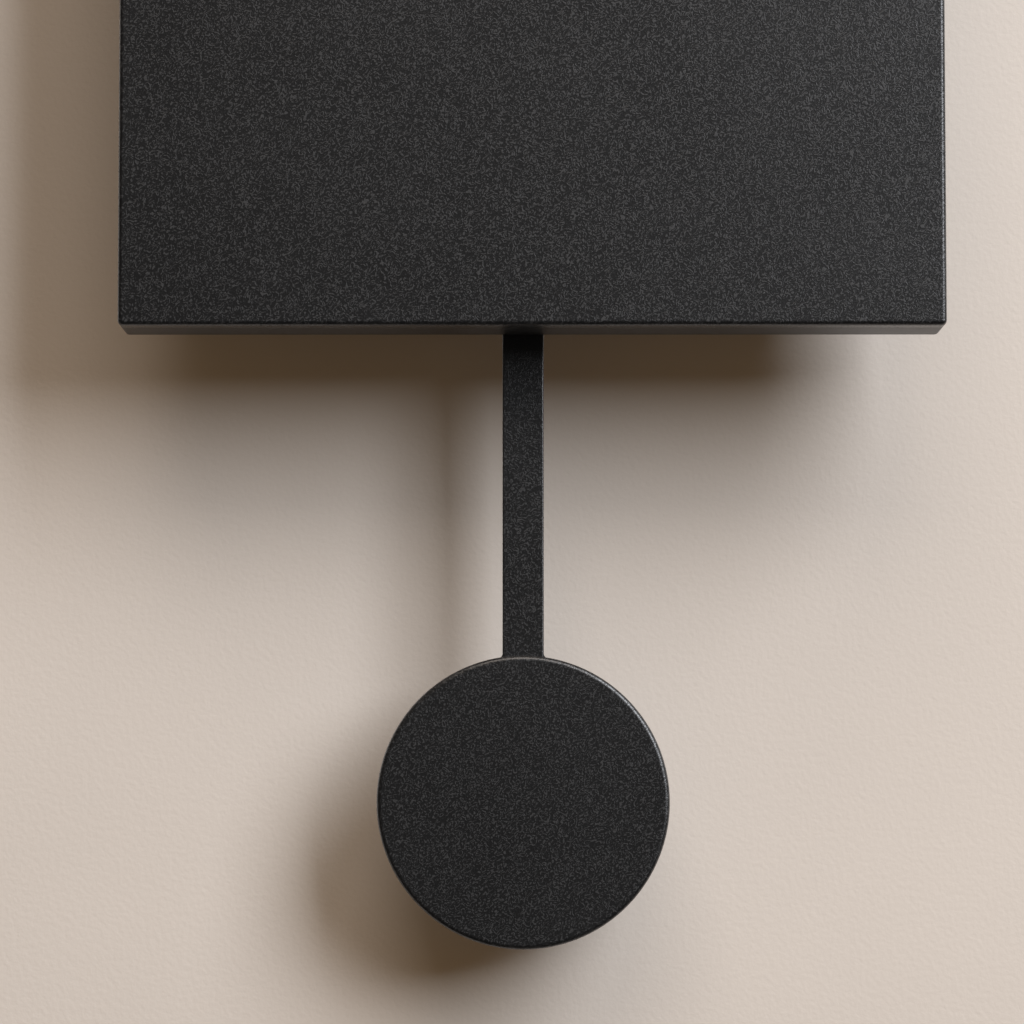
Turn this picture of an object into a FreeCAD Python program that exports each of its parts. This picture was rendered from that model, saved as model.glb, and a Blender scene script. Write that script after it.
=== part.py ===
import FreeCAD, Part

import math
import os

# Pendulum wall clock: a shallow steel case in two pans, held off the wall by a bracket, with a quartz
# movement behind its front plate and a free pendulum that hangs between the case and the wall.
#
# Frame, millimetres: +X to the right of someone facing the clock, -Y towards them, +Z up. y = 0 is the
# wall. The origin is the centre of the hanging keyhole's round entry, in the wall plane.

# ---------------------------------------------------------------- case and bracket
case_width = 240.0
case_height = 320.0
case_depth = 25.0
cover_depth = 7.0
cover_seam = 0.3
stand_off = 35.0
sheet = 1.5
case_edge_round = 1.3
case_corner_round = 1.5
body_edge_round = 0.6
keyhole_below_top = 30.0
dial_below_top = 120.0

window_half_width = 33.0
window_above_dial = 18.0
window_below_dial = 78.0
window_corner_round = 5.0

lip_sheet = 1.0
lip_set_back = 1.5
lip_overlap = 6.0
post_side = 12.0
cover_screw_radius = 1.5
cover_screw_head_radius = 2.9
cover_screw_length = 9.0
thread_play = 0.05

bracket_width = 100.0
bracket_sheet = 1.5
bracket_above_keyhole = 15.0
bracket_below_window = 13.0
bracket_corner_round = 2.0
rail_foot = 12.0
flange_width = 12.0
flange_screws = 3
flange_screw_inset = 14.0
flange_screw_radius = 1.5
flange_screw_head_radius = 2.8
flange_screw_head_height = 1.3
flange_nut_radius = 3.2
flange_nut_thickness = 2.4

spacer_radius = 5.0
spacer_reach = 80.0
spacer_above_bottom = 20.0
spacer_tip_radius = 5.5
spacer_tip_thickness = 2.5
spacer_screw_length = 10.0

keyhole_entry_radius = 4.75
keyhole_slot_half_width = 2.3
keyhole_rise = 9.0
hanger_width = 46.0
hanger_height = 34.0
hanger_sheet = 1.5
hanger_corner_round = 2.0
hanger_end_space = 2.0
rivet_radius = 1.5
rivet_head_radius = 2.8
rivet_head_height = 0.9
rivet_inset = 5.0

# ---------------------------------------------------------------- dial and hands
marker_outer_radius = 92.0
marker_width = 2.6
marker_length = 10.0
quarter_marker_length = 15.0
marker_thickness = 1.2
marker_round = 0.35

hand_thickness = 0.8
hand_edge_round = 0.25
hour_hand_length = 54.0
hour_hand_width = 7.0
hour_hand_tail = 14.0
minute_hand_length = 78.0
minute_hand_width = 5.6
minute_hand_tail = 18.0
hand_boss_radius = 5.0
shown_hours = 10.0
shown_minutes = 10.0
hand_gap = 1.6
cap_radius = 3.4
cap_height = 1.6

bushing_radius = 4.0
bushing_length = 6.5
bushing_play = 0.1
gasket_thickness = 1.0
gasket_radius = 11.0
washer_thickness = 0.8
washer_radius = 7.5
nut_thickness = 2.2
nut_across_flats = 11.0
hour_pipe_radius = 2.5
minute_arbor_radius = 1.5
running_play = 0.06

# ---------------------------------------------------------------- movement
movement_width = 56.0
movement_above_dial = 28.0
movement_below_dial = 72.0
movement_depth = 15.5
movement_wall = 1.2
movement_corner_round = 3.0
movement_screw_radius = 1.0
movement_screw_head_radius = 2.0
movement_screw_head_height = 1.0
movement_screw_inset = 3.4
movement_boss_radius = 2.4

battery_radius = 7.25
battery_length = 50.5
battery_nub_radius = 2.75
battery_nub_length = 1.0
battery_below_dial = 19.2
battery_play = 0.5
contact_thickness = 0.5
contact_width = 8.0

# Wheels: tooth counts, and the spacing of each meshing pair of axes. Modules follow from the two.
motion_spacing = 9.0
cannon_teeth = 12
motion_wheel_teeth = 36
motion_pinion_teeth = 12
hour_wheel_teeth = 48
centre_spacing = 9.0
centre_wheel_teeth = 64
third_pinion_teeth = 8
third_spacing = 8.5
third_wheel_teeth = 60
seconds_pinion_teeth = 8
seconds_spacing = 8.75
seconds_wheel_teeth = 60
intermediate_pinion_teeth = 10
rotor_spacing = 7.2
intermediate_wheel_teeth = 60
rotor_pinion_teeth = 12
tooth_slack = 0.09
tip_factor = 0.85
root_factor = 1.25
pressure_angle = math.radians(20.0)

wheel_thickness = 0.8
pinion_overhang = 0.15
pivot_radius = 0.4
pivot_depth = 0.6
pivot_play = 0.05
pivot_shoulder = 0.15
layer_pitch = 2.1
first_layer = 0.25
clutch_seat_radius = 1.1
clutch_play = 0.1
clutch_spring_radius = 2.0
clutch_spring_thickness = 0.3

rotor_magnet_radius = 3.2
rotor_magnet_thickness = 3.4
stator_thickness = 1.0
stator_air_gap = 0.5
stator_ring = 1.8
coil_radius = 3.9
coil_flange_radius = 4.4
coil_flange_thickness = 0.8
core_width = 3.4
board_thickness = 0.8
crystal_radius = 1.4
crystal_length = 7.5
chip_radius = 3.4

knob_radius = 5.0
knob_thickness = 4.0
knob_gap = 0.5
knob_flutes = 18
knob_flute_radius = 0.45
knob_arbor_radius = 0.8

# ---------------------------------------------------------------- pendulum
swing_degrees = 4.5
pendulum_x = -2.6
rod_behind_case = 4.0
pivot_below_dial = 36.0
bob_below_case = 137.5
rod_width = 12.15
rod_thickness = 3.0
rod_edge_round = 0.5
rod_into_bob = 26.0

pin_radius = 1.0
pin_play = 0.06
clip_radius = 2.4
clip_thickness = 0.6
clip_gap = 0.1
pin_end = 0.6
yoke_boss_radius = 4.0
yoke_boss_height = 3.0
yoke_thickness = 2.0
yoke_gap = 0.5
yoke_top_width = 12.0
yoke_bottom_width = 9.0
yoke_length = 34.0
magnet_radius = 3.6
magnet_below_pivot = 21.0
drive_coil_radius = 9.0
drive_coil_height = 8.0
drive_core_radius = 2.2
peg_radius = 1.5
peg_head_radius = 2.5
peg_head_thickness = 0.8
peg_below_pivot = 30.0

strip_width = 9.0
strip_thickness = 1.0
strip_above_peg = 4.5
strip_lap = 18.0
rod_top_below_pivot = 42.0
rod_rivet_radius = 1.2
rod_rivet_head_radius = 2.1
rod_rivet_head_height = 0.7

bob_radius = 42.9
bob_thickness = 12.0
bob_wall = 1.2
bob_edge_round = 1.4
bob_cover_gap = 0.1
clamp_width = 24.0
bob_screw_radius = 1.5
bob_screw_head_radius = 2.8
bob_screw_head_height = 1.5
bob_screw_spacing = 11.0

# ---------------------------------------------------------------- places worked out from the sizes
case_top = keyhole_below_top
case_bottom = case_top - case_height
case_rear = -stand_off
case_front = case_rear - case_depth
plate_back = case_front + sheet
rear_plate_front = case_rear - sheet
cover_rear = case_front + cover_depth
body_front = cover_rear + cover_seam
dial_z = case_top - dial_below_top
inner_half_width = case_width / 2 - sheet
window_top = dial_z + window_above_dial
window_bottom = dial_z - window_below_dial
bracket_half_width = bracket_width / 2
bracket_top = bracket_above_keyhole
bracket_bottom = window_bottom - bracket_below_window
spacer_tip_front = -spacer_tip_thickness

housing_front = plate_back + gasket_thickness
housing_inside = housing_front + movement_wall
housing_back = housing_front + movement_depth
cover_inside = housing_back - movement_wall
housing_half_width = movement_width / 2
housing_top = dial_z + movement_above_dial
housing_bottom = dial_z - movement_below_dial
bay_z = dial_z - battery_below_dial
bay_half_height = battery_radius + battery_play
battery_y = housing_inside + battery_radius + battery_play / 2
bushing_tip = housing_front - bushing_length

hour_pipe_bore = minute_arbor_radius + running_play
hour_hand_front = bushing_tip - hand_gap
hour_pipe_tip = hour_hand_front - hand_thickness / 2
minute_hand_front = hour_hand_front - hand_thickness - hand_gap
minute_arbor_tip = minute_hand_front - hand_thickness / 2

pivot_z = dial_z - pivot_below_dial
yoke_front = housing_back + yoke_gap
yoke_back = yoke_front + yoke_thickness
boss_back = yoke_back + yoke_boss_height
pin_tip = boss_back + clip_gap + clip_thickness + pin_end
pendulum_plane = case_rear + rod_behind_case
rod_front = pendulum_plane - rod_thickness / 2
rod_back = pendulum_plane + rod_thickness / 2
strip_front = rod_front - strip_thickness
peg_z = pivot_z - peg_below_pivot
rod_top = pivot_z - rod_top_below_pivot
bob_z = case_bottom - bob_below_case
bob_front_y = pendulum_plane - bob_thickness / 2
bob_back_y = pendulum_plane + bob_thickness / 2
rod_bottom = bob_z + bob_radius - rod_into_bob


def layer(number):
    """Front face of a wheel layer inside the movement, counted from the front wall."""
    return housing_inside + first_layer + number * layer_pitch


def polar(origin, radius, degrees):
    angle = math.radians(degrees)
    return origin[0] + radius * math.cos(angle), origin[1] + radius * math.sin(angle)


# Axes of the wheels, as (x, z).
centre_axis = (0.0, dial_z)
motion_direction = 90.0
third_direction = 150.0
seconds_direction = 110.0
intermediate_direction = 30.0
rotor_direction = 0.0
motion_axis = polar(centre_axis, motion_spacing, motion_direction)
third_axis = polar(centre_axis, centre_spacing, third_direction)
seconds_axis = polar(third_axis, third_spacing, seconds_direction)
intermediate_axis = polar(seconds_axis, seconds_spacing, intermediate_direction)
rotor_axis = polar(intermediate_axis, rotor_spacing, rotor_direction)


# ---------------------------------------------------------------- plain shapes
def block(x0, x1, y0, y1, z0, z1):
    return Part.makeBox(x1 - x0, y1 - y0, z1 - z0, FreeCAD.Vector(x0, y0, z0))


def disc(radius, y0, y1, axis=(0.0, 0.0)):
    """Cylinder along Y, from y0 to y1, about axis = (x, z)."""
    return Part.makeCylinder(radius, y1 - y0, FreeCAD.Vector(axis[0], y0, axis[1]), FreeCAD.Vector(0, 1, 0))


def tube(radius, bore, y0, y1, axis=(0.0, 0.0)):
    return disc(radius, y0, y1, axis).cut(disc(bore, y0, y1, axis))


def cone(radius0, radius1, y0, y1, axis=(0.0, 0.0)):
    base = FreeCAD.Vector(axis[0], y0, axis[1])
    return Part.makeCone(radius0, radius1, y1 - y0, base, FreeCAD.Vector(0, 1, 0))


def prism(points, y0, y1):
    """Straight-sided outline, a list of (x, z), raised along Y."""
    corners = [FreeCAD.Vector(x, y0, z) for x, z in points]
    wire = Part.makePolygon(corners + corners[:1])
    return Part.Face(wire).extrude(FreeCAD.Vector(0, y1 - y0, 0))


def plate(x0, x1, y0, y1, z0, z1, corner):
    """Block whose four edges along Y are rounded."""
    solid = block(x0, x1, y0, y1, z0, z1)
    return solid.makeFillet(corner, edges_along_y(solid))


def edges_along(solid, direction):
    """Straight edges that run along one unit vector."""
    chosen = []
    for edge in solid.Edges:
        ends = [vertex.Point for vertex in edge.Vertexes]
        if len(ends) == 2 and abs(abs((ends[0] - ends[1]).dot(direction)) - edge.Length) < 1e-6:
            chosen.append(edge)
    return chosen


def edges_along_y(solid):
    return edges_along(solid, FreeCAD.Vector(0, 1, 0))


def edges_along_z(solid):
    return edges_along(solid, FreeCAD.Vector(0, 0, 1))


def edges_at_y(solid, y):
    return [edge for edge in solid.Edges if all(abs(vertex.Point.y - y) < 1e-6 for vertex in edge.Vertexes)]


def joined(solids):
    return solids[0].multiFuse(solids[1:]).removeSplitter()


def turned(solid, clock_degrees):
    """Turn a solid about the dial's centre, clockwise as the clock is read."""
    solid.rotate(FreeCAD.Vector(0, 0, dial_z), FreeCAD.Vector(0, 1, 0), clock_degrees)
    return solid


# ---------------------------------------------------------------- toothed wheels
def module_of(spacing, teeth_a, teeth_b):
    return 2 * spacing / (teeth_a + teeth_b)


def flank_angle(radius, teeth, module):
    """Half the angle that an involute tooth takes up at a radius, with the slack taken off."""
    pitch_radius = teeth * module / 2
    base_radius = pitch_radius * math.cos(pressure_angle)
    involute = math.tan(pressure_angle) - pressure_angle
    half_tooth = (math.pi * module / 2 - tooth_slack) / (2 * pitch_radius) + involute
    if radius <= base_radius:
        return half_tooth
    roll = math.acos(base_radius / radius)
    return half_tooth - (math.tan(roll) - roll)


def toothed(teeth, module, phase, y0, y1, axis):
    """External gear; phase is the angle in radians, from +X towards +Z, of one tooth's middle."""
    pitch_radius = teeth * module / 2
    radii = [pitch_radius - root_factor * module, pitch_radius, pitch_radius + tip_factor * module]
    points = []
    for number in range(teeth):
        middle = phase + 2 * math.pi * number / teeth
        rising = [(radius, middle - flank_angle(radius, teeth, module)) for radius in radii]
        falling = [(radius, middle + flank_angle(radius, teeth, module)) for radius in reversed(radii)]
        for radius, angle in rising + falling:
            points.append((axis[0] + radius * math.cos(angle), axis[1] + radius * math.sin(angle)))
    return prism(points, y0, y1)


def meshing_phase(phase, teeth, direction, other_teeth):
    """Phase of a gear that meshes with one of the given phase, lying in that direction (degrees)."""
    line = math.radians(direction)
    return line + math.pi + (math.pi - (phase - line) * teeth) / other_teeth


def arbor(axis):
    """Thin arbor whose ends turn in the blind holes of the front wall and the cover."""
    return disc(pivot_radius, housing_inside - pivot_depth, cover_inside + pivot_depth, axis)


def train_wheel(axis, wheel, pinion):
    """Wheel and pinion on one arbor. wheel and pinion are (teeth, module, phase, layer)."""
    wheel_y = layer(wheel[3])
    pinion_y = layer(pinion[3]) - pinion_overhang
    pinion_end = layer(pinion[3]) + wheel_thickness + pinion_overhang
    solids = [
        toothed(wheel[0], wheel[1], wheel[2], wheel_y, wheel_y + wheel_thickness, axis),
        toothed(pinion[0], pinion[1], pinion[2], pinion_y, pinion_end, axis),
        disc(pivot_radius + pivot_shoulder, min(wheel_y, pinion_y), max(wheel_y, pinion_end), axis),
        arbor(axis),
    ]
    return joined(solids)


# Phases at rest, worked along each train so that every pair is in mesh.
motion_module = module_of(motion_spacing, cannon_teeth, motion_wheel_teeth)
hour_module = module_of(motion_spacing, motion_pinion_teeth, hour_wheel_teeth)
centre_module = module_of(centre_spacing, third_pinion_teeth, centre_wheel_teeth)
third_module = module_of(third_spacing, seconds_pinion_teeth, third_wheel_teeth)
seconds_module = module_of(seconds_spacing, intermediate_pinion_teeth, seconds_wheel_teeth)
rotor_module = module_of(rotor_spacing, rotor_pinion_teeth, intermediate_wheel_teeth)

motion_wheel_phase = meshing_phase(0.0, cannon_teeth, motion_direction, motion_wheel_teeth)
motion_pinion_phase = meshing_phase(0.0, hour_wheel_teeth, motion_direction, motion_pinion_teeth)
third_pinion_phase = meshing_phase(0.0, centre_wheel_teeth, third_direction, third_pinion_teeth)
seconds_pinion_phase = meshing_phase(0.0, third_wheel_teeth, seconds_direction, seconds_pinion_teeth)
intermediate_pinion_phase = meshing_phase(
    0.0, seconds_wheel_teeth, intermediate_direction, intermediate_pinion_teeth)
rotor_pinion_phase = meshing_phase(0.0, intermediate_wheel_teeth, rotor_direction, rotor_pinion_teeth)


# ---------------------------------------------------------------- case
def front_cover():
    """Front plate with a shallow wall all round it: the pan that carries the dial."""
    half = case_width / 2
    outside = plate(-half, half, case_front, cover_rear, case_bottom, case_top, case_corner_round)
    outside = outside.makeFillet(case_edge_round, edges_at_y(outside, case_front))
    hollow = block(-inner_half_width, inner_half_width, plate_back, cover_rear + 1, case_bottom + sheet,
                   case_top - sheet)
    return outside.cut(hollow).cut(disc(bushing_radius + bushing_play, case_front - 1, plate_back + 1, centre_axis))


def service_window(y0, y1):
    """Opening behind the movement, the same through the case's rear plate and the bracket."""
    return plate(-window_half_width, window_half_width, y0, y1, window_bottom, window_top, window_corner_round)


def case_body():
    """Rear pan: four walls and the rear plate, flush with the front cover across a fine seam."""
    half = case_width / 2
    outside = plate(-half, half, body_front, case_rear, case_bottom, case_top, case_corner_round)
    outside = outside.makeFillet(body_edge_round, edges_at_y(outside, case_rear))
    hollow = block(-inner_half_width, inner_half_width, body_front - 1, rear_plate_front, case_bottom + sheet,
                   case_top - sheet)
    solid = outside.cut(hollow).cut(service_window(rear_plate_front - 1, case_rear + 1))
    for x, z in post_places():
        solid = solid.cut(screw_sink(x, z, thread_play))
    for place in flange_screw_places():
        solid = solid.cut(disc(flange_screw_radius + thread_play, rear_plate_front - 1, case_rear + 1, place))
    for place in spacer_places():
        solid = solid.cut(disc(cover_screw_radius + thread_play, rear_plate_front - 1, case_rear + 1, place))
    return solid


def seam_lip():
    """Strip welded inside the rear pan's walls that enters the cover and keeps the two in line."""
    y0 = plate_back + lip_set_back
    y1 = body_front + lip_overlap
    low = case_bottom + sheet
    high = case_top - sheet
    half = inner_half_width
    outer = block(-half, half, y0, y1, low, high)
    inner = block(-half + lip_sheet, half - lip_sheet, y0 - 1, y1 + 1, low + lip_sheet, high - lip_sheet)
    return outer.cut(inner)


def post_places():
    """Middles of the four corner posts, as (x, z)."""
    inset = lip_sheet + post_side / 2
    reach_x = inner_half_width - inset
    high = case_top - sheet - inset
    low = case_bottom + sheet + inset
    return [(side * reach_x, z) for side in (-1, 1) for z in (low, high)]


def cover_posts():
    """Tapped blocks welded in the front cover's corners, which the rear pan screws to."""
    half = post_side / 2
    posts = []
    for x, z in post_places():
        post = block(x - half, x + half, plate_back, rear_plate_front, z - half, z + half)
        bore = disc(cover_screw_radius + thread_play, case_rear - cover_screw_length - 1, case_rear, (x, z))
        posts.append(post.cut(bore))
    return Part.makeCompound(posts)


def screw_sink(x, z, growth):
    """Countersunk head's cone, in the rear plate's thickness."""
    return cone(cover_screw_radius + growth, cover_screw_head_radius + growth, rear_plate_front, case_rear, (x, z))


def hex_recess(place, radius, y0, y1):
    return prism([polar(place, radius, 60 * side) for side in range(6)], y0, y1)


def cover_screws():
    screws = []
    for x, z in post_places():
        shank = disc(cover_screw_radius, case_rear - cover_screw_length, rear_plate_front, (x, z))
        recess = hex_recess((x, z), cover_screw_radius * 0.75, case_rear - 0.8, case_rear + 0.1)
        screws.append(shank.fuse(screw_sink(x, z, 0.0)).cut(recess))
    return Part.makeCompound(screws)


# ---------------------------------------------------------------- wall bracket and spacers
def flange_screw_places():
    reach = bracket_half_width + flange_width / 2
    low = bracket_bottom + flange_screw_inset
    pitch = (bracket_top - flange_screw_inset - low) / (flange_screws - 1)
    return [(side * reach, low + number * pitch) for side in (-1, 1) for number in range(flange_screws)]


def bracket_plate():
    """Wall plate of the bracket, with the keyhole and the service window."""
    half = bracket_half_width
    solid = plate(-half, half, -bracket_sheet, 0, bracket_bottom, bracket_top, bracket_corner_round)
    solid = solid.cut(service_window(-bracket_sheet - 1, 1)).cut(keyhole(-bracket_sheet - 1, 1))
    for place in rivet_places():
        solid = solid.cut(disc(rivet_radius, -bracket_sheet - 1, 1, place))
    return solid


def bracket_rails():
    """Two folded rails: a foot welded to the wall plate, a web and a flange screwed to the case."""
    rails = []
    thick = bracket_sheet
    for side in (-1, 1):
        spans = [
            (bracket_half_width - thick, bracket_half_width, case_rear, -thick),
            (bracket_half_width - rail_foot, bracket_half_width, -2 * thick, -thick),
            (bracket_half_width - thick, bracket_half_width + flange_width, case_rear, case_rear + thick),
        ]
        solids = []
        for inner, outer, y0, y1 in spans:
            solids.append(block(min(side * inner, side * outer), max(side * inner, side * outer), y0, y1,
                                bracket_bottom, bracket_top))
        rail = joined(solids)
        for place in flange_screw_places():
            rail = rail.cut(disc(flange_screw_radius + thread_play, case_rear - 1, case_rear + thick + 1, place))
        rails.append(rail)
    return Part.makeCompound(rails)


def bracket_screws():
    """Button screws through the bracket's flanges."""
    screws = []
    front = case_rear + bracket_sheet
    back = front + flange_screw_head_height
    for place in flange_screw_places():
        head = disc(flange_screw_head_radius, front, back, place)
        head = head.makeFillet(flange_screw_head_height / 2, edges_at_y(head, back))
        shank = disc(flange_screw_radius, rear_plate_front - flange_nut_thickness, front, place)
        recess = hex_recess(place, flange_screw_radius * 0.7, back - 0.8, back + 1)
        screws.append(head.fuse(shank).cut(recess))
    return Part.makeCompound(screws)


def bracket_nuts():
    """Clinched nuts on the inside of the rear plate."""
    front = rear_plate_front - flange_nut_thickness
    return Part.makeCompound([
        tube(flange_nut_radius, flange_screw_radius, front, rear_plate_front, place)
        for place in flange_screw_places()])


def spacer_places():
    return [(side * spacer_reach, case_bottom + spacer_above_bottom) for side in (-1, 1)]


def wall_spacers():
    """Two turned posts that keep the case's lower end parallel to the wall."""
    posts = []
    for place in spacer_places():
        post = disc(spacer_radius, case_rear, spacer_tip_front, place)
        posts.append(post.cut(disc(cover_screw_radius, case_rear - 1, case_rear + spacer_screw_length, place)))
    return Part.makeCompound(posts)


def spacer_tips():
    return Part.makeCompound([disc(spacer_tip_radius, spacer_tip_front, 0, place) for place in spacer_places()])


def spacer_screws():
    """Screws from inside the rear pan into the spacers."""
    screws = []
    front = rear_plate_front - flange_screw_head_height
    for place in spacer_places():
        head = disc(flange_screw_head_radius, front, rear_plate_front, place)
        head = head.makeFillet(flange_screw_head_height / 2, edges_at_y(head, front))
        shank = disc(cover_screw_radius, rear_plate_front, case_rear + spacer_screw_length - 1, place)
        recess = hex_recess(place, cover_screw_radius * 0.7, front - 1, front + 0.8)
        screws.append(head.fuse(shank).cut(recess))
    return Part.makeCompound(screws)


def keyhole(y0, y1):
    """Round entry at the origin, with the slot that rises from it."""
    entry = disc(keyhole_entry_radius, y0, y1)
    width = keyhole_slot_half_width
    rise = block(-width, width, y0, y1, 0, keyhole_rise)
    return joined([entry, rise, disc(width, y0, y1, (0.0, keyhole_rise))])


def hanger_low():
    return bracket_top - bracket_sheet - hanger_end_space - hanger_height


def rivet_places():
    reach_x = hanger_width / 2 - rivet_inset
    low = hanger_low()
    return [(x, z) for x in (-reach_x, reach_x) for z in (low + rivet_inset, low + hanger_height - rivet_inset)]


def hanger_plate():
    """Stiffener riveted inside the bracket's wall plate, with the same keyhole."""
    half = hanger_width / 2
    inner = -bracket_sheet - hanger_sheet
    low = hanger_low()
    solid = plate(-half, half, inner, -bracket_sheet, low, low + hanger_height, hanger_corner_round)
    solid = solid.cut(keyhole(inner - 1, 0))
    for place in rivet_places():
        solid = solid.cut(disc(rivet_radius, inner - 1, 0, place))
    return solid


def hanger_rivets():
    inner = -bracket_sheet - hanger_sheet
    rivets = []
    for place in rivet_places():
        head = cone(rivet_head_radius * 0.55, rivet_head_radius, inner - rivet_head_height, inner, place)
        rivets.append(head.fuse(disc(rivet_radius, inner, 0, place)))
    return Part.makeCompound(rivets)


# ---------------------------------------------------------------- dial and hands
def hour_markers():
    """Twelve batons on the front plate, the quarter ones longer."""
    batons = []
    for hour in range(12):
        length = quarter_marker_length if hour % 3 == 0 else marker_length
        inner = dial_z + marker_outer_radius - length
        baton = block(-marker_width / 2, marker_width / 2, case_front - marker_thickness, case_front,
                      inner, inner + length)
        baton = baton.makeFillet(marker_round, edges_at_y(baton, case_front - marker_thickness))
        batons.append(turned(baton, 30 * hour))
    return Part.makeCompound(batons)


def hand(length, tail, width, bore, front, clock_degrees):
    """Flat bar hand: a boss round the arbor and a straight bar with a short tail."""
    back = front + hand_thickness
    bar = block(-width / 2, width / 2, front, back, dial_z - tail, dial_z + length)
    solid = joined([bar, disc(hand_boss_radius, front, back, centre_axis)])
    solid = solid.makeFillet(hand_edge_round, edges_at_y(solid, front))
    solid = solid.cut(disc(bore, front - 1, back + 1, centre_axis))
    return turned(solid, clock_degrees)


def hour_hand():
    angle = 30 * shown_hours + shown_minutes / 2
    return hand(hour_hand_length, hour_hand_tail, hour_hand_width, hour_pipe_radius,
                hour_hand_front - hand_thickness, angle)


def minute_hand():
    return hand(minute_hand_length, minute_hand_tail, minute_hand_width, minute_arbor_radius,
                minute_hand_front - hand_thickness, 6 * shown_minutes)


def hand_cap():
    """Domed cap pressed over the minute arbor's tip."""
    base = minute_hand_front - hand_thickness
    solid = disc(cap_radius, base - cap_height, base, centre_axis)
    solid = solid.makeFillet(cap_height * 0.45, edges_at_y(solid, base - cap_height))
    tip = minute_arbor_tip - hand_thickness / 2 - cap_height / 2
    return solid.cut(disc(minute_arbor_radius, tip, base + 1, centre_axis))


def dial_gasket():
    return tube(gasket_radius, bushing_radius + bushing_play, plate_back, housing_front, centre_axis)


def dial_washer():
    return tube(washer_radius, bushing_radius + bushing_play, case_front - washer_thickness, case_front,
                centre_axis)


def dial_nut():
    back = case_front - washer_thickness
    corner = nut_across_flats / 2 / math.cos(math.radians(30))
    outline = [polar(centre_axis, corner, 60 * side) for side in range(6)]
    return prism(outline, back - nut_thickness, back).cut(
        disc(bushing_radius, back - nut_thickness - 1, back + 1, centre_axis))


# ---------------------------------------------------------------- movement, fixed pieces
def housing_plate(y0, y1):
    return plate(-housing_half_width, housing_half_width, y0, y1, housing_bottom, housing_top,
                 movement_corner_round)


def movement_screw_places():
    reach = housing_half_width - movement_screw_inset
    heights = (housing_bottom + movement_screw_inset, housing_top - movement_screw_inset)
    return [(x, z) for x in (-reach, reach) for z in heights]


def train_axes():
    return [motion_axis, third_axis, seconds_axis, intermediate_axis, rotor_axis]


def pivot_hole(axis, wall_face, away):
    """Blind hole for an arbor's pivot; away is the direction into the wall, along Y."""
    end = wall_face + away * (pivot_depth + pivot_play)
    return disc(pivot_radius + pivot_play, min(wall_face, end), max(wall_face, end), axis)


def movement_housing():
    """Front moulding: tray, battery bay walls, screw bosses and the bushing through the front plate."""
    half = housing_half_width - movement_wall
    solid = housing_plate(housing_front, cover_inside)
    hollow = block(-half, half, housing_inside, cover_inside + 1, housing_bottom + movement_wall,
                   housing_top - movement_wall)
    solid = solid.cut(hollow)
    added = [solid, disc(bushing_radius, bushing_tip, housing_front, centre_axis)]
    for side in (-1, 1):
        edge = bay_z + side * bay_half_height
        low = min(edge, edge + side * movement_wall)
        added.append(block(-half, half, housing_inside, cover_inside, low, low + movement_wall))
    for place in movement_screw_places():
        added.append(disc(movement_boss_radius, housing_inside, cover_inside, place))
    solid = joined(added)
    solid = solid.cut(disc(hour_pipe_radius + running_play, bushing_tip - 1, housing_inside + 1, centre_axis))
    for place in movement_screw_places():
        solid = solid.cut(disc(movement_screw_radius, housing_inside + 1, cover_inside + 1, place))
    for axis in train_axes():
        solid = solid.cut(pivot_hole(axis, housing_inside, -1))
    return solid


def movement_cover():
    """Rear moulding, open over the battery, with the pivot holes and the pendulum pin's seat."""
    half = housing_half_width - movement_wall
    solid = housing_plate(cover_inside, housing_back)
    solid = solid.cut(block(-half, half, cover_inside - 1, housing_back + 1, bay_z - bay_half_height,
                            bay_z + bay_half_height))
    solid = solid.cut(disc(knob_arbor_radius + running_play, cover_inside - 1, housing_back + 1, centre_axis))
    solid = solid.cut(disc(pin_radius, cover_inside - 1, housing_back + 1, (pendulum_x, pivot_z)))
    for place in movement_screw_places():
        solid = solid.cut(disc(movement_screw_radius + thread_play, cover_inside - 1, housing_back + 1, place))
    for axis in train_axes():
        solid = solid.cut(pivot_hole(axis, cover_inside, 1))
    return solid


def movement_screws():
    screws = []
    for place in movement_screw_places():
        head = disc(movement_screw_head_radius, housing_back, housing_back + movement_screw_head_height, place)
        head = head.makeFillet(movement_screw_head_height / 3,
                               edges_at_y(head, housing_back + movement_screw_head_height))
        half = movement_screw_head_radius
        slot = block(place[0] - half, place[0] + half, housing_back + movement_screw_head_height / 2,
                     housing_back + movement_screw_head_height + 1, place[1] - 0.25, place[1] + 0.25)
        shank = disc(movement_screw_radius, housing_inside + 2, housing_back, place)
        screws.append(head.cut(slot).fuse(shank))
    return Part.makeCompound(screws)


def along_x(radius, x0, x1, y, z):
    return Part.makeCylinder(radius, x1 - x0, FreeCAD.Vector(x0, y, z), FreeCAD.Vector(1, 0, 0))


def battery():
    """AA cell lying across the bay, its nub to the right."""
    half = battery_length / 2
    can = along_x(battery_radius, -half, half - battery_nub_length, battery_y, bay_z)
    ends = [edge for edge in can.Edges if len(edge.Vertexes) == 1]
    can = can.makeFillet(0.6, ends)
    nub = along_x(battery_nub_radius, half - battery_nub_length - 0.1, half, battery_y, bay_z)
    return can.fuse(nub)


def battery_contact_plus():
    half = housing_half_width - movement_wall
    outer = battery_length / 2
    width = contact_width / 2
    leaf = block(half - contact_thickness, half, battery_y - width, battery_y + width,
                 bay_z - width, bay_z + width)
    bump = along_x(battery_nub_radius * 0.7, outer, half - contact_thickness, battery_y, bay_z)
    return joined([leaf, bump])


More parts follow.
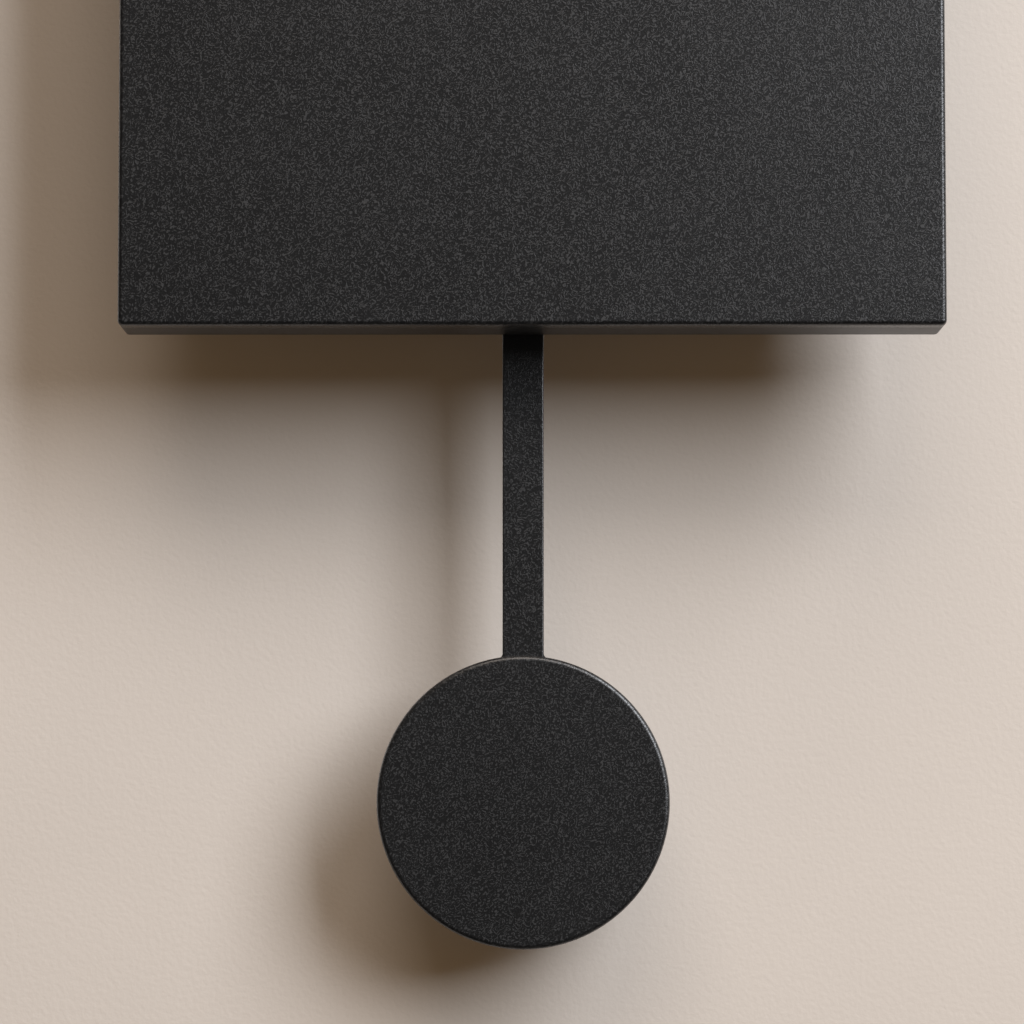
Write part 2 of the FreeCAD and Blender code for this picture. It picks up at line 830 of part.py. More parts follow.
def battery_contact_minus():
    """Folded leaf that presses on the flat end of the cell."""
    wall = -(housing_half_width - movement_wall)
    cell = -battery_length / 2
    width = contact_width / 2
    leaf = block(wall, wall + contact_thickness, battery_y - width, battery_y + width,
                 bay_z - width, bay_z + width)
    tongue = block(cell - contact_thickness, cell, battery_y - width / 2, battery_y + width / 2,
                   bay_z - width, bay_z + width / 2)
    foot = block(wall, cell, battery_y - width / 2, battery_y + width / 2, bay_z - width,
                 bay_z - width + contact_thickness)
    return joined([leaf, tongue, foot])


def board_edges():
    """The circuit board's (x0, x1, z0, z1), to the right of the wheels."""
    right = housing_half_width - movement_wall
    return 9.0, right - 1.3, bay_z + bay_half_height + movement_wall + 2.0, housing_top - 7.0


def circuit_board():
    x0, x1, z0, z1 = board_edges()
    return block(x0, x1, housing_inside, housing_inside + board_thickness, z0, z1)


def control_chip():
    """Epoxy blob over the clock's chip."""
    x0, x1, z0, z1 = board_edges()
    front = housing_inside + board_thickness
    blob = cone(chip_radius, chip_radius * 0.7, front, front + 1.0, ((x0 + x1) / 2, z0 + chip_radius + 9.0))
    return blob.makeFillet(0.4, edges_at_y(blob, front + 1.0))


def quartz_crystal():
    """Small can lying on the board."""
    x0, x1, z0, z1 = board_edges()
    y = housing_inside + board_thickness + crystal_radius
    return along_x(crystal_radius, x1 - 1.0 - crystal_length, x1 - 1.0, y, z0 + crystal_radius + 1.0)


def magnet_span():
    """Front and rear of the rotor's magnet, just ahead of its pinion."""
    back = layer(5) - pinion_overhang - 0.2
    return back - rotor_magnet_thickness, back


def coil_place():
    """Core's middle x and its lower and upper z."""
    right = housing_half_width - movement_wall
    return right - coil_flange_radius - 2.9, rotor_axis[1] - 24.9, rotor_axis[1] + 5.5


def motor_stator():
    """Pole plate round the rotor, two legs and the core that the coil is wound on."""
    front, back = magnet_span()
    y0 = (front + back - stator_thickness) / 2
    y1 = y0 + stator_thickness
    core_x, low, high = coil_place()
    ring = rotor_magnet_radius + stator_air_gap + stator_ring
    right = core_x + core_width / 2
    leg = rotor_axis[0] + 5.15
    plate_solids = [
        disc(ring, y0, y1, rotor_axis),
        block(rotor_axis[0], right, y0, y1, high - core_width, high),
        block(leg - core_width / 2, leg + core_width / 2, y0, y1, low, rotor_axis[1]),
        block(leg - core_width / 2, right, y0, y1, low, low + core_width),
        block(right - core_width, right, y0, y1, low, high),
    ]
    return joined(plate_solids).cut(disc(rotor_magnet_radius + stator_air_gap, y0 - 1, y1 + 1, rotor_axis))


def motor_coil():
    """Winding between two flanges, round the stator's core."""
    front, back = magnet_span()
    y = (front + back) / 2
    core_x, low, high = coil_place()
    z0 = low + core_width + 0.2
    z1 = high - core_width - 0.2
    up = FreeCAD.Vector(0, 0, 1)
    winding = Part.makeCylinder(coil_radius, z1 - z0, FreeCAD.Vector(core_x, y, z0), up)
    flanges = [Part.makeCylinder(coil_flange_radius, coil_flange_thickness, FreeCAD.Vector(core_x, y, z), up)
               for z in (z0, z1 - coil_flange_thickness)]
    core = block(core_x - core_width / 2, core_x + core_width / 2, y - stator_thickness / 2,
                 y + stator_thickness / 2, z0 - 1, z1 + 1)
    rear = cover_inside - 0.1
    trim = block(core_x - 9, core_x + 9, rear, rear + 9, z0 - 1, z1 + 1)
    return joined([winding] + flanges).cut(core).cut(trim)


def drive_core():
    return disc(drive_core_radius, housing_inside, cover_inside, (pendulum_x, pivot_z - magnet_below_pivot))


def drive_coil():
    """Flat coil behind the cover that kicks the yoke's magnet."""
    return tube(drive_coil_radius, drive_core_radius, cover_inside - drive_coil_height, cover_inside,
                (pendulum_x, pivot_z - magnet_below_pivot))


# ---------------------------------------------------------------- movement, turning pieces
def hour_wheel():
    """Wheel inside the movement with the long pipe that carries the hour hand."""
    back = layer(0) + wheel_thickness
    wheel = toothed(hour_wheel_teeth, hour_module, 0.0, layer(0), back, centre_axis)
    pipe = disc(hour_pipe_radius, hour_pipe_tip - hand_thickness, layer(0), centre_axis)
    return joined([wheel, pipe]).cut(disc(hour_pipe_bore, hour_pipe_tip - hand_thickness - 1, back + 1, centre_axis))


def minute_arbor():
    """Arbor with the cannon pinion, a seat for the centre wheel and a thin tail to the knob."""
    pinion_y = layer(1) - pinion_overhang
    pinion_end = layer(1) + wheel_thickness + pinion_overhang
    seat_end = layer(2) + wheel_thickness + clutch_play
    solids = [
        disc(minute_arbor_radius, minute_arbor_tip - hand_thickness, pinion_y, centre_axis),
        toothed(cannon_teeth, motion_module, 0.0, pinion_y, pinion_end, centre_axis),
        disc(clutch_seat_radius, pinion_end, seat_end, centre_axis),
        disc(knob_arbor_radius, seat_end, housing_back + knob_gap + knob_thickness, centre_axis),
    ]
    return joined(solids)


def clutch_spring():
    """Dished washer that presses the centre wheel against the cannon pinion."""
    front = layer(2) + wheel_thickness + clutch_play
    return tube(clutch_spring_radius, knob_arbor_radius, front, front + clutch_spring_thickness, centre_axis)


def centre_wheel():
    """Last wheel of the going train; it slips on the minute arbor when the hands are set."""
    back = layer(2) + wheel_thickness
    wheel = toothed(centre_wheel_teeth, centre_module, 0.0, layer(2), back, centre_axis)
    hub_front = layer(1) + wheel_thickness + pinion_overhang + clutch_play
    hub = disc(clutch_spring_radius, hub_front, layer(2), centre_axis)
    return joined([wheel, hub]).cut(disc(clutch_seat_radius + running_play, hub_front - 1, back + 1, centre_axis))


def motion_wheel():
    wheel = (motion_wheel_teeth, motion_module, motion_wheel_phase, 1)
    pinion = (motion_pinion_teeth, hour_module, motion_pinion_phase, 0)
    return train_wheel(motion_axis, wheel, pinion)


def third_wheel():
    wheel = (third_wheel_teeth, third_module, 0.0, 3)
    pinion = (third_pinion_teeth, centre_module, third_pinion_phase, 2)
    return train_wheel(third_axis, wheel, pinion)


def seconds_wheel():
    wheel = (seconds_wheel_teeth, seconds_module, 0.0, 4)
    pinion = (seconds_pinion_teeth, third_module, seconds_pinion_phase, 3)
    return train_wheel(seconds_axis, wheel, pinion)


def intermediate_wheel():
    wheel = (intermediate_wheel_teeth, rotor_module, 0.0, 5)
    pinion = (intermediate_pinion_teeth, seconds_module, intermediate_pinion_phase, 4)
    return train_wheel(intermediate_axis, wheel, pinion)


def rotor_pinion():
    """Rotor's arbor and pinion, moulded in one."""
    front, back = magnet_span()
    pinion_y = layer(5) - pinion_overhang
    pinion_end = layer(5) + wheel_thickness + pinion_overhang
    pinion = toothed(rotor_pinion_teeth, rotor_module, rotor_pinion_phase, pinion_y, pinion_end, rotor_axis)
    hub = disc(pivot_radius + pivot_shoulder, front, pinion_y, rotor_axis)
    return joined([pinion, hub, arbor(rotor_axis)])


def rotor_magnet():
    front, back = magnet_span()
    return tube(rotor_magnet_radius, pivot_radius + pivot_shoulder, front, back, rotor_axis)


def setting_knob():
    """Fluted knob on the minute arbor's tail, behind the movement."""
    front = housing_back + knob_gap
    solid = disc(knob_radius, front, front + knob_thickness, centre_axis)
    solid = solid.makeFillet(knob_thickness / 8, edges_at_y(solid, front + knob_thickness))
    for number in range(knob_flutes):
        place = polar(centre_axis, knob_radius, 360 * number / knob_flutes)
        solid = solid.cut(disc(knob_flute_radius, front - 1, front + knob_thickness + 1, place))
    return solid.cut(disc(knob_arbor_radius, front - 1, front + knob_thickness + 1, centre_axis))


# ---------------------------------------------------------------- pendulum
def yoke_pin():
    """Steel pin in the movement's cover, which the pendulum turns on."""
    return disc(pin_radius, cover_inside, pin_tip, (pendulum_x, pivot_z))


def pin_clip():
    front = boss_back + clip_gap
    return tube(clip_radius, pin_radius, front, front + clip_thickness, (pendulum_x, pivot_z))


def pendulum_yoke():
    """Moulded arm: a boss on the pin, a seat for the magnet and a peg for the pendulum's strip."""
    top = pivot_z
    bottom = pivot_z - yoke_length
    corners = [(-yoke_top_width, top), (-yoke_bottom_width, bottom), (yoke_bottom_width, bottom),
               (yoke_top_width, top)]
    outline = [(pendulum_x + width / 2, z) for width, z in corners]
    magnet_place = (pendulum_x, pivot_z - magnet_below_pivot)
    peg_place = (pendulum_x, peg_z)
    solids = [
        prism(outline, yoke_front, yoke_back),
        disc(yoke_top_width / 2, yoke_front, yoke_back, (pendulum_x, pivot_z)),
        disc(yoke_boss_radius, yoke_front, boss_back, (pendulum_x, pivot_z)),
        disc(peg_head_radius, yoke_back, strip_front, peg_place),
        disc(peg_radius, strip_front, rod_front + peg_head_thickness, peg_place),
    ]
    solid = joined(solids)
    solid = solid.cut(disc(pin_radius + pin_play, yoke_front - 1, boss_back + 1, (pendulum_x, pivot_z)))
    return solid.cut(disc(magnet_radius, yoke_front - 1, yoke_back + 1, magnet_place))


def yoke_magnet():
    return disc(magnet_radius, yoke_front, yoke_back, (pendulum_x, pivot_z - magnet_below_pivot))


def peg_cap():
    """Push-on cap that keeps the strip on the yoke's peg."""
    return tube(peg_head_radius, peg_radius, rod_front, rod_front + peg_head_thickness, (pendulum_x, peg_z))


def rod_rivet_places():
    return [(pendulum_x, rod_top - strip_lap * share) for share in (0.25, 0.75)]


def rod_hanger():
    """Steel strip that hangs on the peg and is riveted in front of the rod's top."""
    half = strip_width / 2
    solid = plate(pendulum_x - half, pendulum_x + half, strip_front, rod_front, rod_top - strip_lap,
                  peg_z + strip_above_peg, strip_width / 4)
    solid = solid.cut(disc(peg_radius, strip_front - 1, rod_front + 1, (pendulum_x, peg_z)))
    for place in rod_rivet_places():
        solid = solid.cut(disc(rod_rivet_radius, strip_front - 1, rod_front + 1, place))
    return solid


def rod_rivets():
    rivets = []
    for place in rod_rivet_places():
        front = disc(rod_rivet_head_radius, strip_front - rod_rivet_head_height, strip_front, place)
        back = disc(rod_rivet_head_radius, rod_back, rod_back + rod_rivet_head_height, place)
        shank = disc(rod_rivet_radius, strip_front, rod_back, place)
        rivets.append(joined([front, shank, back]))
    return Part.makeCompound(rivets)


def bob_screw_places():
    middle = (rod_bottom + bob_z + bob_radius - bob_wall) / 2 - 1.0
    return [(pendulum_x, middle + side * bob_screw_spacing / 2) for side in (-1, 1)]


def pendulum_rod():
    """Flat bar from the strip down into the bob."""
    half = rod_width / 2
    solid = block(pendulum_x - half, pendulum_x + half, rod_front, rod_back, rod_bottom, rod_top)
    solid = solid.makeFillet(rod_edge_round, edges_along_z(solid))
    for place in rod_rivet_places():
        solid = solid.cut(disc(rod_rivet_radius, rod_front - 1, rod_back + 1, place))
    for place in bob_screw_places():
        solid = solid.cut(disc(bob_screw_radius + thread_play, rod_front - 1, rod_back + 1, place))
    return solid


def rod_passage(z0, z1):
    half = rod_width / 2
    return block(pendulum_x - half, pendulum_x + half, rod_front, rod_back, z0, z1)


def bob_front():
    """Dish-shaped disc: front face and rim in one, open at the rear."""
    centre = (pendulum_x, bob_z)
    solid = disc(bob_radius, bob_front_y, bob_back_y, centre)
    solid = solid.makeFillet(bob_edge_round, edges_at_y(solid, bob_front_y))
    solid = solid.makeFillet(bob_wall / 2, edges_at_y(solid, bob_back_y))
    solid = solid.cut(disc(bob_radius - bob_wall, bob_front_y + bob_wall, bob_back_y + 1, centre))
    return solid.cut(rod_passage(bob_z + bob_radius - 3 * bob_wall, bob_z + bob_radius + 1))


def bob_back():
    """Rear disc, set in the rim."""
    radius = bob_radius - bob_wall - bob_cover_gap
    solid = disc(radius, bob_back_y - bob_wall, bob_back_y, (pendulum_x, bob_z))
    for place in bob_screw_places():
        solid = solid.cut(disc(bob_screw_radius + thread_play, bob_back_y - bob_wall - 1, bob_back_y + 1, place))
    return solid


def bob_clamp():
    """Block between the bob's two faces that grips the rod."""
    front = bob_front_y + bob_wall
    back = bob_back_y - bob_wall
    reach = math.sqrt((bob_radius - bob_wall) ** 2 - (clamp_width / 2) ** 2)
    top = bob_z + reach - 1.0
    half = clamp_width / 2
    solid = block(pendulum_x - half, pendulum_x + half, front, back, rod_bottom - 3.0, top)
    solid = solid.cut(rod_passage(rod_bottom, top + 1))
    for place in bob_screw_places():
        solid = solid.cut(disc(bob_screw_radius + thread_play, front - 1, back + 1, place))
    return solid


def bob_screws():
    screws = []
    for x, z in bob_screw_places():
        head = disc(bob_screw_head_radius, bob_back_y, bob_back_y + bob_screw_head_height, (x, z))
        head = head.makeFillet(bob_screw_head_height / 2, edges_at_y(head, bob_back_y + bob_screw_head_height))
        shank = disc(bob_screw_radius, bob_front_y + bob_wall, bob_back_y, (x, z))
        depth = bob_screw_head_height * 0.6
        end = bob_back_y + bob_screw_head_height
        recess = hex_recess((x, z), bob_screw_radius * 0.8, end - depth, end + 1)
        screws.append(head.fuse(shank).cut(recess))
    return Part.makeCompound(screws)


NODES = [
    front_cover, case_body, seam_lip, cover_posts, cover_screws, bracket_plate, bracket_rails,
    bracket_screws, bracket_nuts, wall_spacers, spacer_tips, spacer_screws, hanger_plate, hanger_rivets,
    hour_markers, hour_hand, minute_hand, hand_cap, dial_gasket, dial_washer, dial_nut,
    movement_housing, movement_cover, movement_screws, battery, battery_contact_plus,
    battery_contact_minus, circuit_board, control_chip, quartz_crystal, motor_stator, motor_coil,
    drive_core, drive_coil, hour_wheel, minute_arbor, clutch_spring, centre_wheel, motion_wheel,
    third_wheel, seconds_wheel, intermediate_wheel, rotor_pinion, rotor_magnet, setting_knob,
    yoke_pin, pin_clip, pendulum_yoke, yoke_magnet, peg_cap, rod_hanger, rod_rivets, pendulum_rod,
    bob_front, bob_back, bob_clamp, bob_screws,
]

os.makedirs("parts", exist_ok=True)
for make in NODES:
    shape = make()
    shape.exportStep("parts/" + make.__name__ + ".step")
print(len(NODES), "nodes written")
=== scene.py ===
import math

import bmesh
import bpy
from bpy.props import FloatProperty, FloatVectorProperty, IntProperty, PointerProperty
from mathutils import Matrix, Vector


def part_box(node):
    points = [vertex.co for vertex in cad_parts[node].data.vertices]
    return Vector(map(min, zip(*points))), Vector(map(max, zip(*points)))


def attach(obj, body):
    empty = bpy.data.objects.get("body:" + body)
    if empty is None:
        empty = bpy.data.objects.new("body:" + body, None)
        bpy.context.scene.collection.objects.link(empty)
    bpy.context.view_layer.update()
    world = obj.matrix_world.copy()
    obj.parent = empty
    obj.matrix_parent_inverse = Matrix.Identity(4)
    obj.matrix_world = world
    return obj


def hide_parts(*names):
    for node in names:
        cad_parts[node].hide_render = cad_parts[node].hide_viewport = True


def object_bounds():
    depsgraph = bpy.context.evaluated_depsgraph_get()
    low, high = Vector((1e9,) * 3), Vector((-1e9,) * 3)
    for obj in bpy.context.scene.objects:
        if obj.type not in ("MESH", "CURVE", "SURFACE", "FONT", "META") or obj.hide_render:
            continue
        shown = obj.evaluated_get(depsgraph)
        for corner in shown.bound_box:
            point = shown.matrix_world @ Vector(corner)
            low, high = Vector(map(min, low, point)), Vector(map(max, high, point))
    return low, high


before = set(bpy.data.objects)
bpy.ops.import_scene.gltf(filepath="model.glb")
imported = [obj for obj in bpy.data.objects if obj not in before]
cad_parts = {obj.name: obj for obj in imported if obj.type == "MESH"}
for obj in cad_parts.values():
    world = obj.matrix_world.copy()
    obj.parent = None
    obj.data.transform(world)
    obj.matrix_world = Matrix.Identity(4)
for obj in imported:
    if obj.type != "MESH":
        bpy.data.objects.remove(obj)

bl_info = {
    "name": "Pendulum wall clock",
    "version": (1, 0, 0),
    "blender": (4, 5, 0),
    "location": "View3D > Sidebar > Clock",
    "description": "Finishes and fine pieces for a pendulum wall clock in a flat steel case",
    "category": "Object",
}

MM = 0.001
AXIS_GAP = 0.02     # millimetres between a turned solid's axis and the first point of its outline
CAD_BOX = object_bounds()


# ---------------------------------------------------------------- shader building
class Field:
    """A shader socket that takes part in arithmetic: an expression on values adds its Math nodes."""

    def __init__(self, finish, socket):
        self.finish = finish
        self.socket = socket

    def join(self, operation, *values):
        return self.finish.add("ShaderNodeMath", {"operation": operation}, dict(enumerate(values)))

    def __add__(self, other):
        return self.join("ADD", self, other)

    def __sub__(self, other):
        return self.join("SUBTRACT", self, other)

    def __mul__(self, other):
        return self.join("MULTIPLY", self, other)

    def __truediv__(self, other):
        return self.join("DIVIDE", self, other)

    def __pow__(self, other):
        return self.join("POWER", self, other)

    def __rsub__(self, other):
        return self.join("SUBTRACT", other, self)

    def above(self, edge):
        return self.join("GREATER_THAN", self, edge)

    def most(self, other):
        return self.join("MAXIMUM", self, other)

    def span(self, low, high):
        """0 below low, 1 above high, smooth between."""
        inputs = {"Value": self, "From Min": low, "From Max": high}
        return self.finish.add("ShaderNodeMapRange", {"interpolation_type": "SMOOTHSTEP"}, inputs)


class Finish:
    """One material: a Principled shader and the nodes that feed it."""

    def __init__(self, name):
        self.material = bpy.data.materials.new(name)
        self.material.use_nodes = True
        self.tree = self.material.node_tree
        self.tree.nodes.clear()
        self.output = self.tree.nodes.new("ShaderNodeOutputMaterial")
        self.shader = self.tree.nodes.new("ShaderNodeBsdfPrincipled")
        self.tree.links.new(self.shader.outputs[0], self.output.inputs["Surface"])

    def add(self, kind, settings=None, inputs=None, output=0):
        """A node of any kind: its settings are set first, then its sockets' values or links."""
        node = self.tree.nodes.new(kind)
        for name, value in (settings or {}).items():
            setattr(node, name, value)
        for name, value in (inputs or {}).items():
            self.feed(node.inputs[name], value)
        return Field(self, node.outputs[output])

    def feed(self, socket, value):
        if isinstance(value, Field):
            self.tree.links.new(value.socket, socket)
        else:
            socket.default_value = value

    def set(self, **values):
        """Shader sockets by name, with underscores for spaces."""
        for name, value in values.items():
            self.feed(self.shader.inputs[name.replace("_", " ")], value)
        return self

    def place(self, scale=1.0, turn=(0.0, 0.0, 0.0), stretch=(1.0, 1.0, 1.0)):
        """Object coordinates in millimetres, divided by scale, after a turn and a stretch."""
        coords = self.add("ShaderNodeTexCoord", output="Object")
        factor = [part / (MM * scale) for part in stretch]
        turned = self.add("ShaderNodeVectorRotate", {"rotation_type": "EULER_XYZ"},
                          {"Vector": coords, "Rotation": turn})
        return self.add("ShaderNodeVectorMath", {"operation": "MULTIPLY"}, {0: turned, 1: factor})

    def noise(self, size, detail=2.0, roughness=0.5, **placing):
        """Soft clouds about size millimetres across."""
        return self.add("ShaderNodeTexNoise", None, {"Vector": self.place(size, **placing), "Scale": 1.0,
                                                     "Detail": detail, "Roughness": roughness})

    def cells(self, size, feature="F1"):
        """Distance within cells about size millimetres across."""
        return self.add("ShaderNodeTexVoronoi", {"feature": feature},
                        {"Vector": self.place(size), "Scale": 1.0})

    def mix(self, factor, first, second):
        """Between two colours."""
        return self.add("ShaderNodeMix", {"data_type": "RGBA"}, {0: factor, 6: first, 7: second}, output=2)

    def bump(self, height, depth):
        """Height field 0..1 raised by depth millimetres."""
        return self.add("ShaderNodeBump", None, {"Height": height, "Distance": depth * MM, "Strength": 1.0})


def rgba(color):
    return (*color, 1.0)


FINISHES = {}


def finish(maker):
    """Each finish is made once, by name."""
    if maker.__name__ not in FINISHES:
        FINISHES[maker.__name__] = maker().material
    return FINISHES[maker.__name__]


def coat_settings():
    return bpy.context.scene.clock_coat


def stage_settings():
    return bpy.context.scene.clock_stage


# ---------------------------------------------------------------- finishes
def shaded(color, factor):
    """A colour made lighter or darker."""
    return rgba([min(1.0, part * factor) for part in color])


def wave(value):
    """0 to 1 and back, as a sine does."""
    return value.join("SINE", value) * 0.5 + 0.5


def powder_coat():
    """Wrinkled black powder coat: short curled ridges, with a painted highlight on their crests and painted
    glints as bright specks.
    """
    sizes = coat_settings()
    made = Finish("powder_coat")
    swirl = made.noise(sizes.wrinkle_size * 2.5, 1.0, 0.4, turn=(0.0, math.radians(45), 0.0),
                       stretch=(0.75, 1.0, 1.2))
    breaks = made.noise(sizes.wrinkle_size * 0.95, 2.0, 0.6)
    ridges = wave(swirl * 42.0)
    height = (ridges * 0.75 + 0.25) * breaks.span(0.22, 0.6)
    crests = height.span(0.5, 1.0)
    patches = made.noise(38.0, 3.0)
    cells = made.cells(sizes.wrinkle_size * 1.7)
    # Painted glints: bright specks that lighten the crests still more.
    painted_glint_specks = cells.join("LESS_THAN", cells, 0.17)
    # Valleys: random patches a little under the coat colour, with painted shade; crests: three to eight times
    # lighter, a painted highlight.
    valley_tone_and_shade = made.mix(patches, shaded(sizes.color, 0.75), shaded(sizes.color, 0.95))
    painted_crest_highlight = made.mix(painted_glint_specks * 0.5, shaded(sizes.color, 3.0), shaded(sizes.color, 8.0))
    made.set(Base_Color=made.mix(crests, valley_tone_and_shade, painted_crest_highlight),
             Roughness=patches * 0.04 + crests * 0.22 + sizes.roughness,
             IOR=1.5, Specular_IOR_Level=sizes.gloss, Specular_Tint=rgba(sizes.sheen),
             Normal=made.bump(height, sizes.wrinkle_depth))
    return made


def satin_coat():
    """Smooth black powder coat with a faint orange peel."""
    sizes = coat_settings()
    made = Finish("satin_coat")
    peel = made.noise(1.6, 2.0, 0.45)
    patches = made.noise(45.0, 3.0)
    rubbed = made.noise(9.0, 5.0, 0.7, stretch=(0.5, 1.0, 1.0)).span(0.56, 0.72)
    tone = made.mix(patches, shaded(sizes.color, 0.95), shaded(sizes.color, 1.2))
    made.set(Base_Color=made.mix(rubbed * 0.35, tone, shaded(sizes.color, 1.6)),
             Roughness=patches * 0.06 + rubbed * 0.05 + (sizes.satin_roughness - 0.04),
             IOR=1.5, Specular_Tint=rgba(sizes.sheen), Normal=made.bump(peel, sizes.peel_depth))
    return made


def painted(name, color, roughness, grain_size, grain_depth, metallic=0.0, spread=0.12, rub=0.0):
    """Grained surface whose tone, roughness and relief all vary: mouldings, castings and plated steel."""
    made = Finish(name)
    grain = made.noise(grain_size, 3.0, 0.6)
    clouds = made.noise(grain_size * 22.0, 4.0, 0.6)
    pits = made.cells(grain_size * 2.4).span(0.05, 0.3)
    tone = made.mix(clouds, shaded(color, 1.0 - spread), shaded(color, 1.0 + spread))
    tone = made.mix((1.0 - pits) * 0.35, tone, shaded(color, 0.6))
    if rub:
        scuffs = made.noise(grain_size * 9.0, 5.0, 0.75, stretch=(0.35, 1.0, 1.3)).span(0.6, 0.68)
        tone = made.mix(scuffs * rub, tone, shaded(color, 1.9))
    made.set(Base_Color=tone, Roughness=clouds * 0.12 + grain * 0.08 + (roughness - 0.1), Metallic=metallic,
             Normal=made.bump(grain * 0.7 + pits * 0.3, grain_depth))
    return made


def black_plastic():
    """Fine-grained black moulding, scuffed in places."""
    return painted("black_plastic", (0.022, 0.022, 0.023), 0.42, 0.35, 0.02, rub=0.25)


def acetal():
    """Ivory wheel plastic that lets a little light in."""
    made = painted("acetal", (0.72, 0.7, 0.64), 0.38, 0.5, 0.008, spread=0.06)
    made.shader.inputs["Subsurface Weight"].default_value = 0.15
    made.shader.inputs["Subsurface Scale"].default_value = 0.6 * MM
    return made


def rubber():
    """Matt black rubber with dusty patches."""
    return painted("rubber", (0.018, 0.018, 0.018), 0.8, 0.6, 0.03, spread=0.25, rub=0.2)


def zinc_plate():
    """Passivated zinc: cold grey with faint yellow and blue clouds and a fine rolled grain."""
    made = Finish("zinc_plate")
    rolled = made.noise(0.5, 4.0, 0.6, stretch=(1.0, 1.0, 0.06))
    clouds = made.noise(14.0, 4.0, 0.6)
    spangle = made.cells(3.0)
    tone = made.mix(clouds, rgba((0.5, 0.51, 0.55)), rgba((0.62, 0.6, 0.53)))
    tone = made.mix(spangle * 0.25, tone, rgba((0.42, 0.44, 0.5)))
    made.set(Base_Color=tone, Metallic=1.0, Roughness=rolled * 0.18 + clouds * 0.1 + 0.22,
             Normal=made.bump(rolled, 0.01))
    return made


def nickel_plate():
    """Bright, slightly warm plating."""
    return painted("nickel_plate", (0.62, 0.59, 0.54), 0.24, 0.3, 0.004, metallic=1.0, spread=0.06)


def black_steel():
    """Blackened screws, rubbed brighter where a driver has touched them."""
    return painted("black_steel", (0.035, 0.034, 0.036), 0.36, 0.3, 0.008, metallic=0.6, rub=0.5)


def sawn_aluminium():
    """Turned and sawn aluminium with fine parallel tool marks."""
    made = Finish("sawn_aluminium")
    marks = made.noise(0.35, 3.0, 0.7, stretch=(0.08, 1.0, 1.0))
    clouds = made.noise(8.0, 3.0)
    tone = made.mix(marks, rgba((0.5, 0.5, 0.51)), rgba((0.7, 0.7, 0.7)))
    made.set(Base_Color=tone, Metallic=1.0, Roughness=marks * 0.2 + clouds * 0.08 + 0.22,
             Normal=made.bump(marks, 0.02))
    return made


def sintered_magnet():
    """Dull grey pressed magnet."""
    return painted("sintered_magnet", (0.16, 0.16, 0.17), 0.5, 0.25, 0.01, metallic=0.8, spread=0.2)


def dial_polar(made):
    """Radius from the dial's middle in millimetres, and the angle there, as two values."""
    low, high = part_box("dial_nut")
    middle = (low + high) / 2
    coords = made.add("ShaderNodeTexCoord", output="Object")
    centred = made.add("ShaderNodeVectorMath", {"operation": "SUBTRACT"}, {0: coords, 1: middle})
    x = made.add("ShaderNodeSeparateXYZ", None, {0: centred}, output="X") / MM
    z = made.add("ShaderNodeSeparateXYZ", None, {0: centred}, output="Z") / MM
    radius = (x * x + z * z) ** 0.5
    return radius, x.join("ARCTAN2", x, z)


def satin_metal():
    """Aluminium batons and hands, brushed along their length."""
    made = Finish("satin_metal")
    radius, angle = dial_polar(made)
    across = made.add("ShaderNodeCombineXYZ", None, {"X": angle * 520.0, "Y": radius * 0.14})
    lines = made.add("ShaderNodeTexNoise", None, {"Vector": across, "Scale": 1.0, "Detail": 3.0,
                                                  "Roughness": 0.65})
    clouds = made.noise(11.0, 3.0)
    tone = made.mix(lines, rgba((0.5, 0.5, 0.5)), rgba((0.74, 0.735, 0.72)))
    made.set(Base_Color=made.mix(clouds * 0.2, tone, rgba((0.52, 0.515, 0.5))), Metallic=1.0,
             Roughness=lines * 0.16 + clouds * 0.06 + 0.2, Normal=made.bump(lines, 0.006))
    return made


def turned_brass():
    """Brass with the fine rings that turning leaves round the dial's middle, a little tarnished."""
    made = Finish("turned_brass")
    radius = dial_polar(made)[0]
    rings = wave(radius * 38.0 + made.noise(0.8, 2.0) * 2.0)
    tarnish = made.noise(2.6, 4.0, 0.65).span(0.4, 0.75)
    bright = made.mix(rings, rgba((0.74, 0.55, 0.26)), rgba((0.82, 0.63, 0.33)))
    made.set(Base_Color=made.mix(tarnish * 0.5, bright, rgba((0.42, 0.27, 0.12))), Metallic=1.0,
             Roughness=tarnish * 0.2 + rings * 0.06 + 0.2, Normal=made.bump(rings, 0.006))
    return made


def copper_winding():
    """Enamelled copper wire in close turns, with painted shade between the turns and a painted highlight on
    each.
    """
    made = Finish("copper_winding")
    coords = made.add("ShaderNodeTexCoord", output="Object")
    along = made.add("ShaderNodeSeparateXYZ", None, {0: coords}, output="Z") / MM
    turns = wave(along * 42.0 + made.noise(1.5, 2.0) * 1.6)
    strays = made.noise(0.9, 3.0)
    # Painted shade between the turns and painted highlight on each turn, in step with the turns' relief.
    tone = made.mix(turns, rgba((0.28, 0.07, 0.03)), rgba((0.72, 0.27, 0.12)))
    made.set(Base_Color=made.mix(strays * 0.25, tone, rgba((0.45, 0.14, 0.06))), Metallic=0.85,
             Roughness=strays * 0.12 + 0.22, Normal=made.bump(turns, 0.05))
    made.shader.inputs["Coat Weight"].default_value = 0.4
    return made


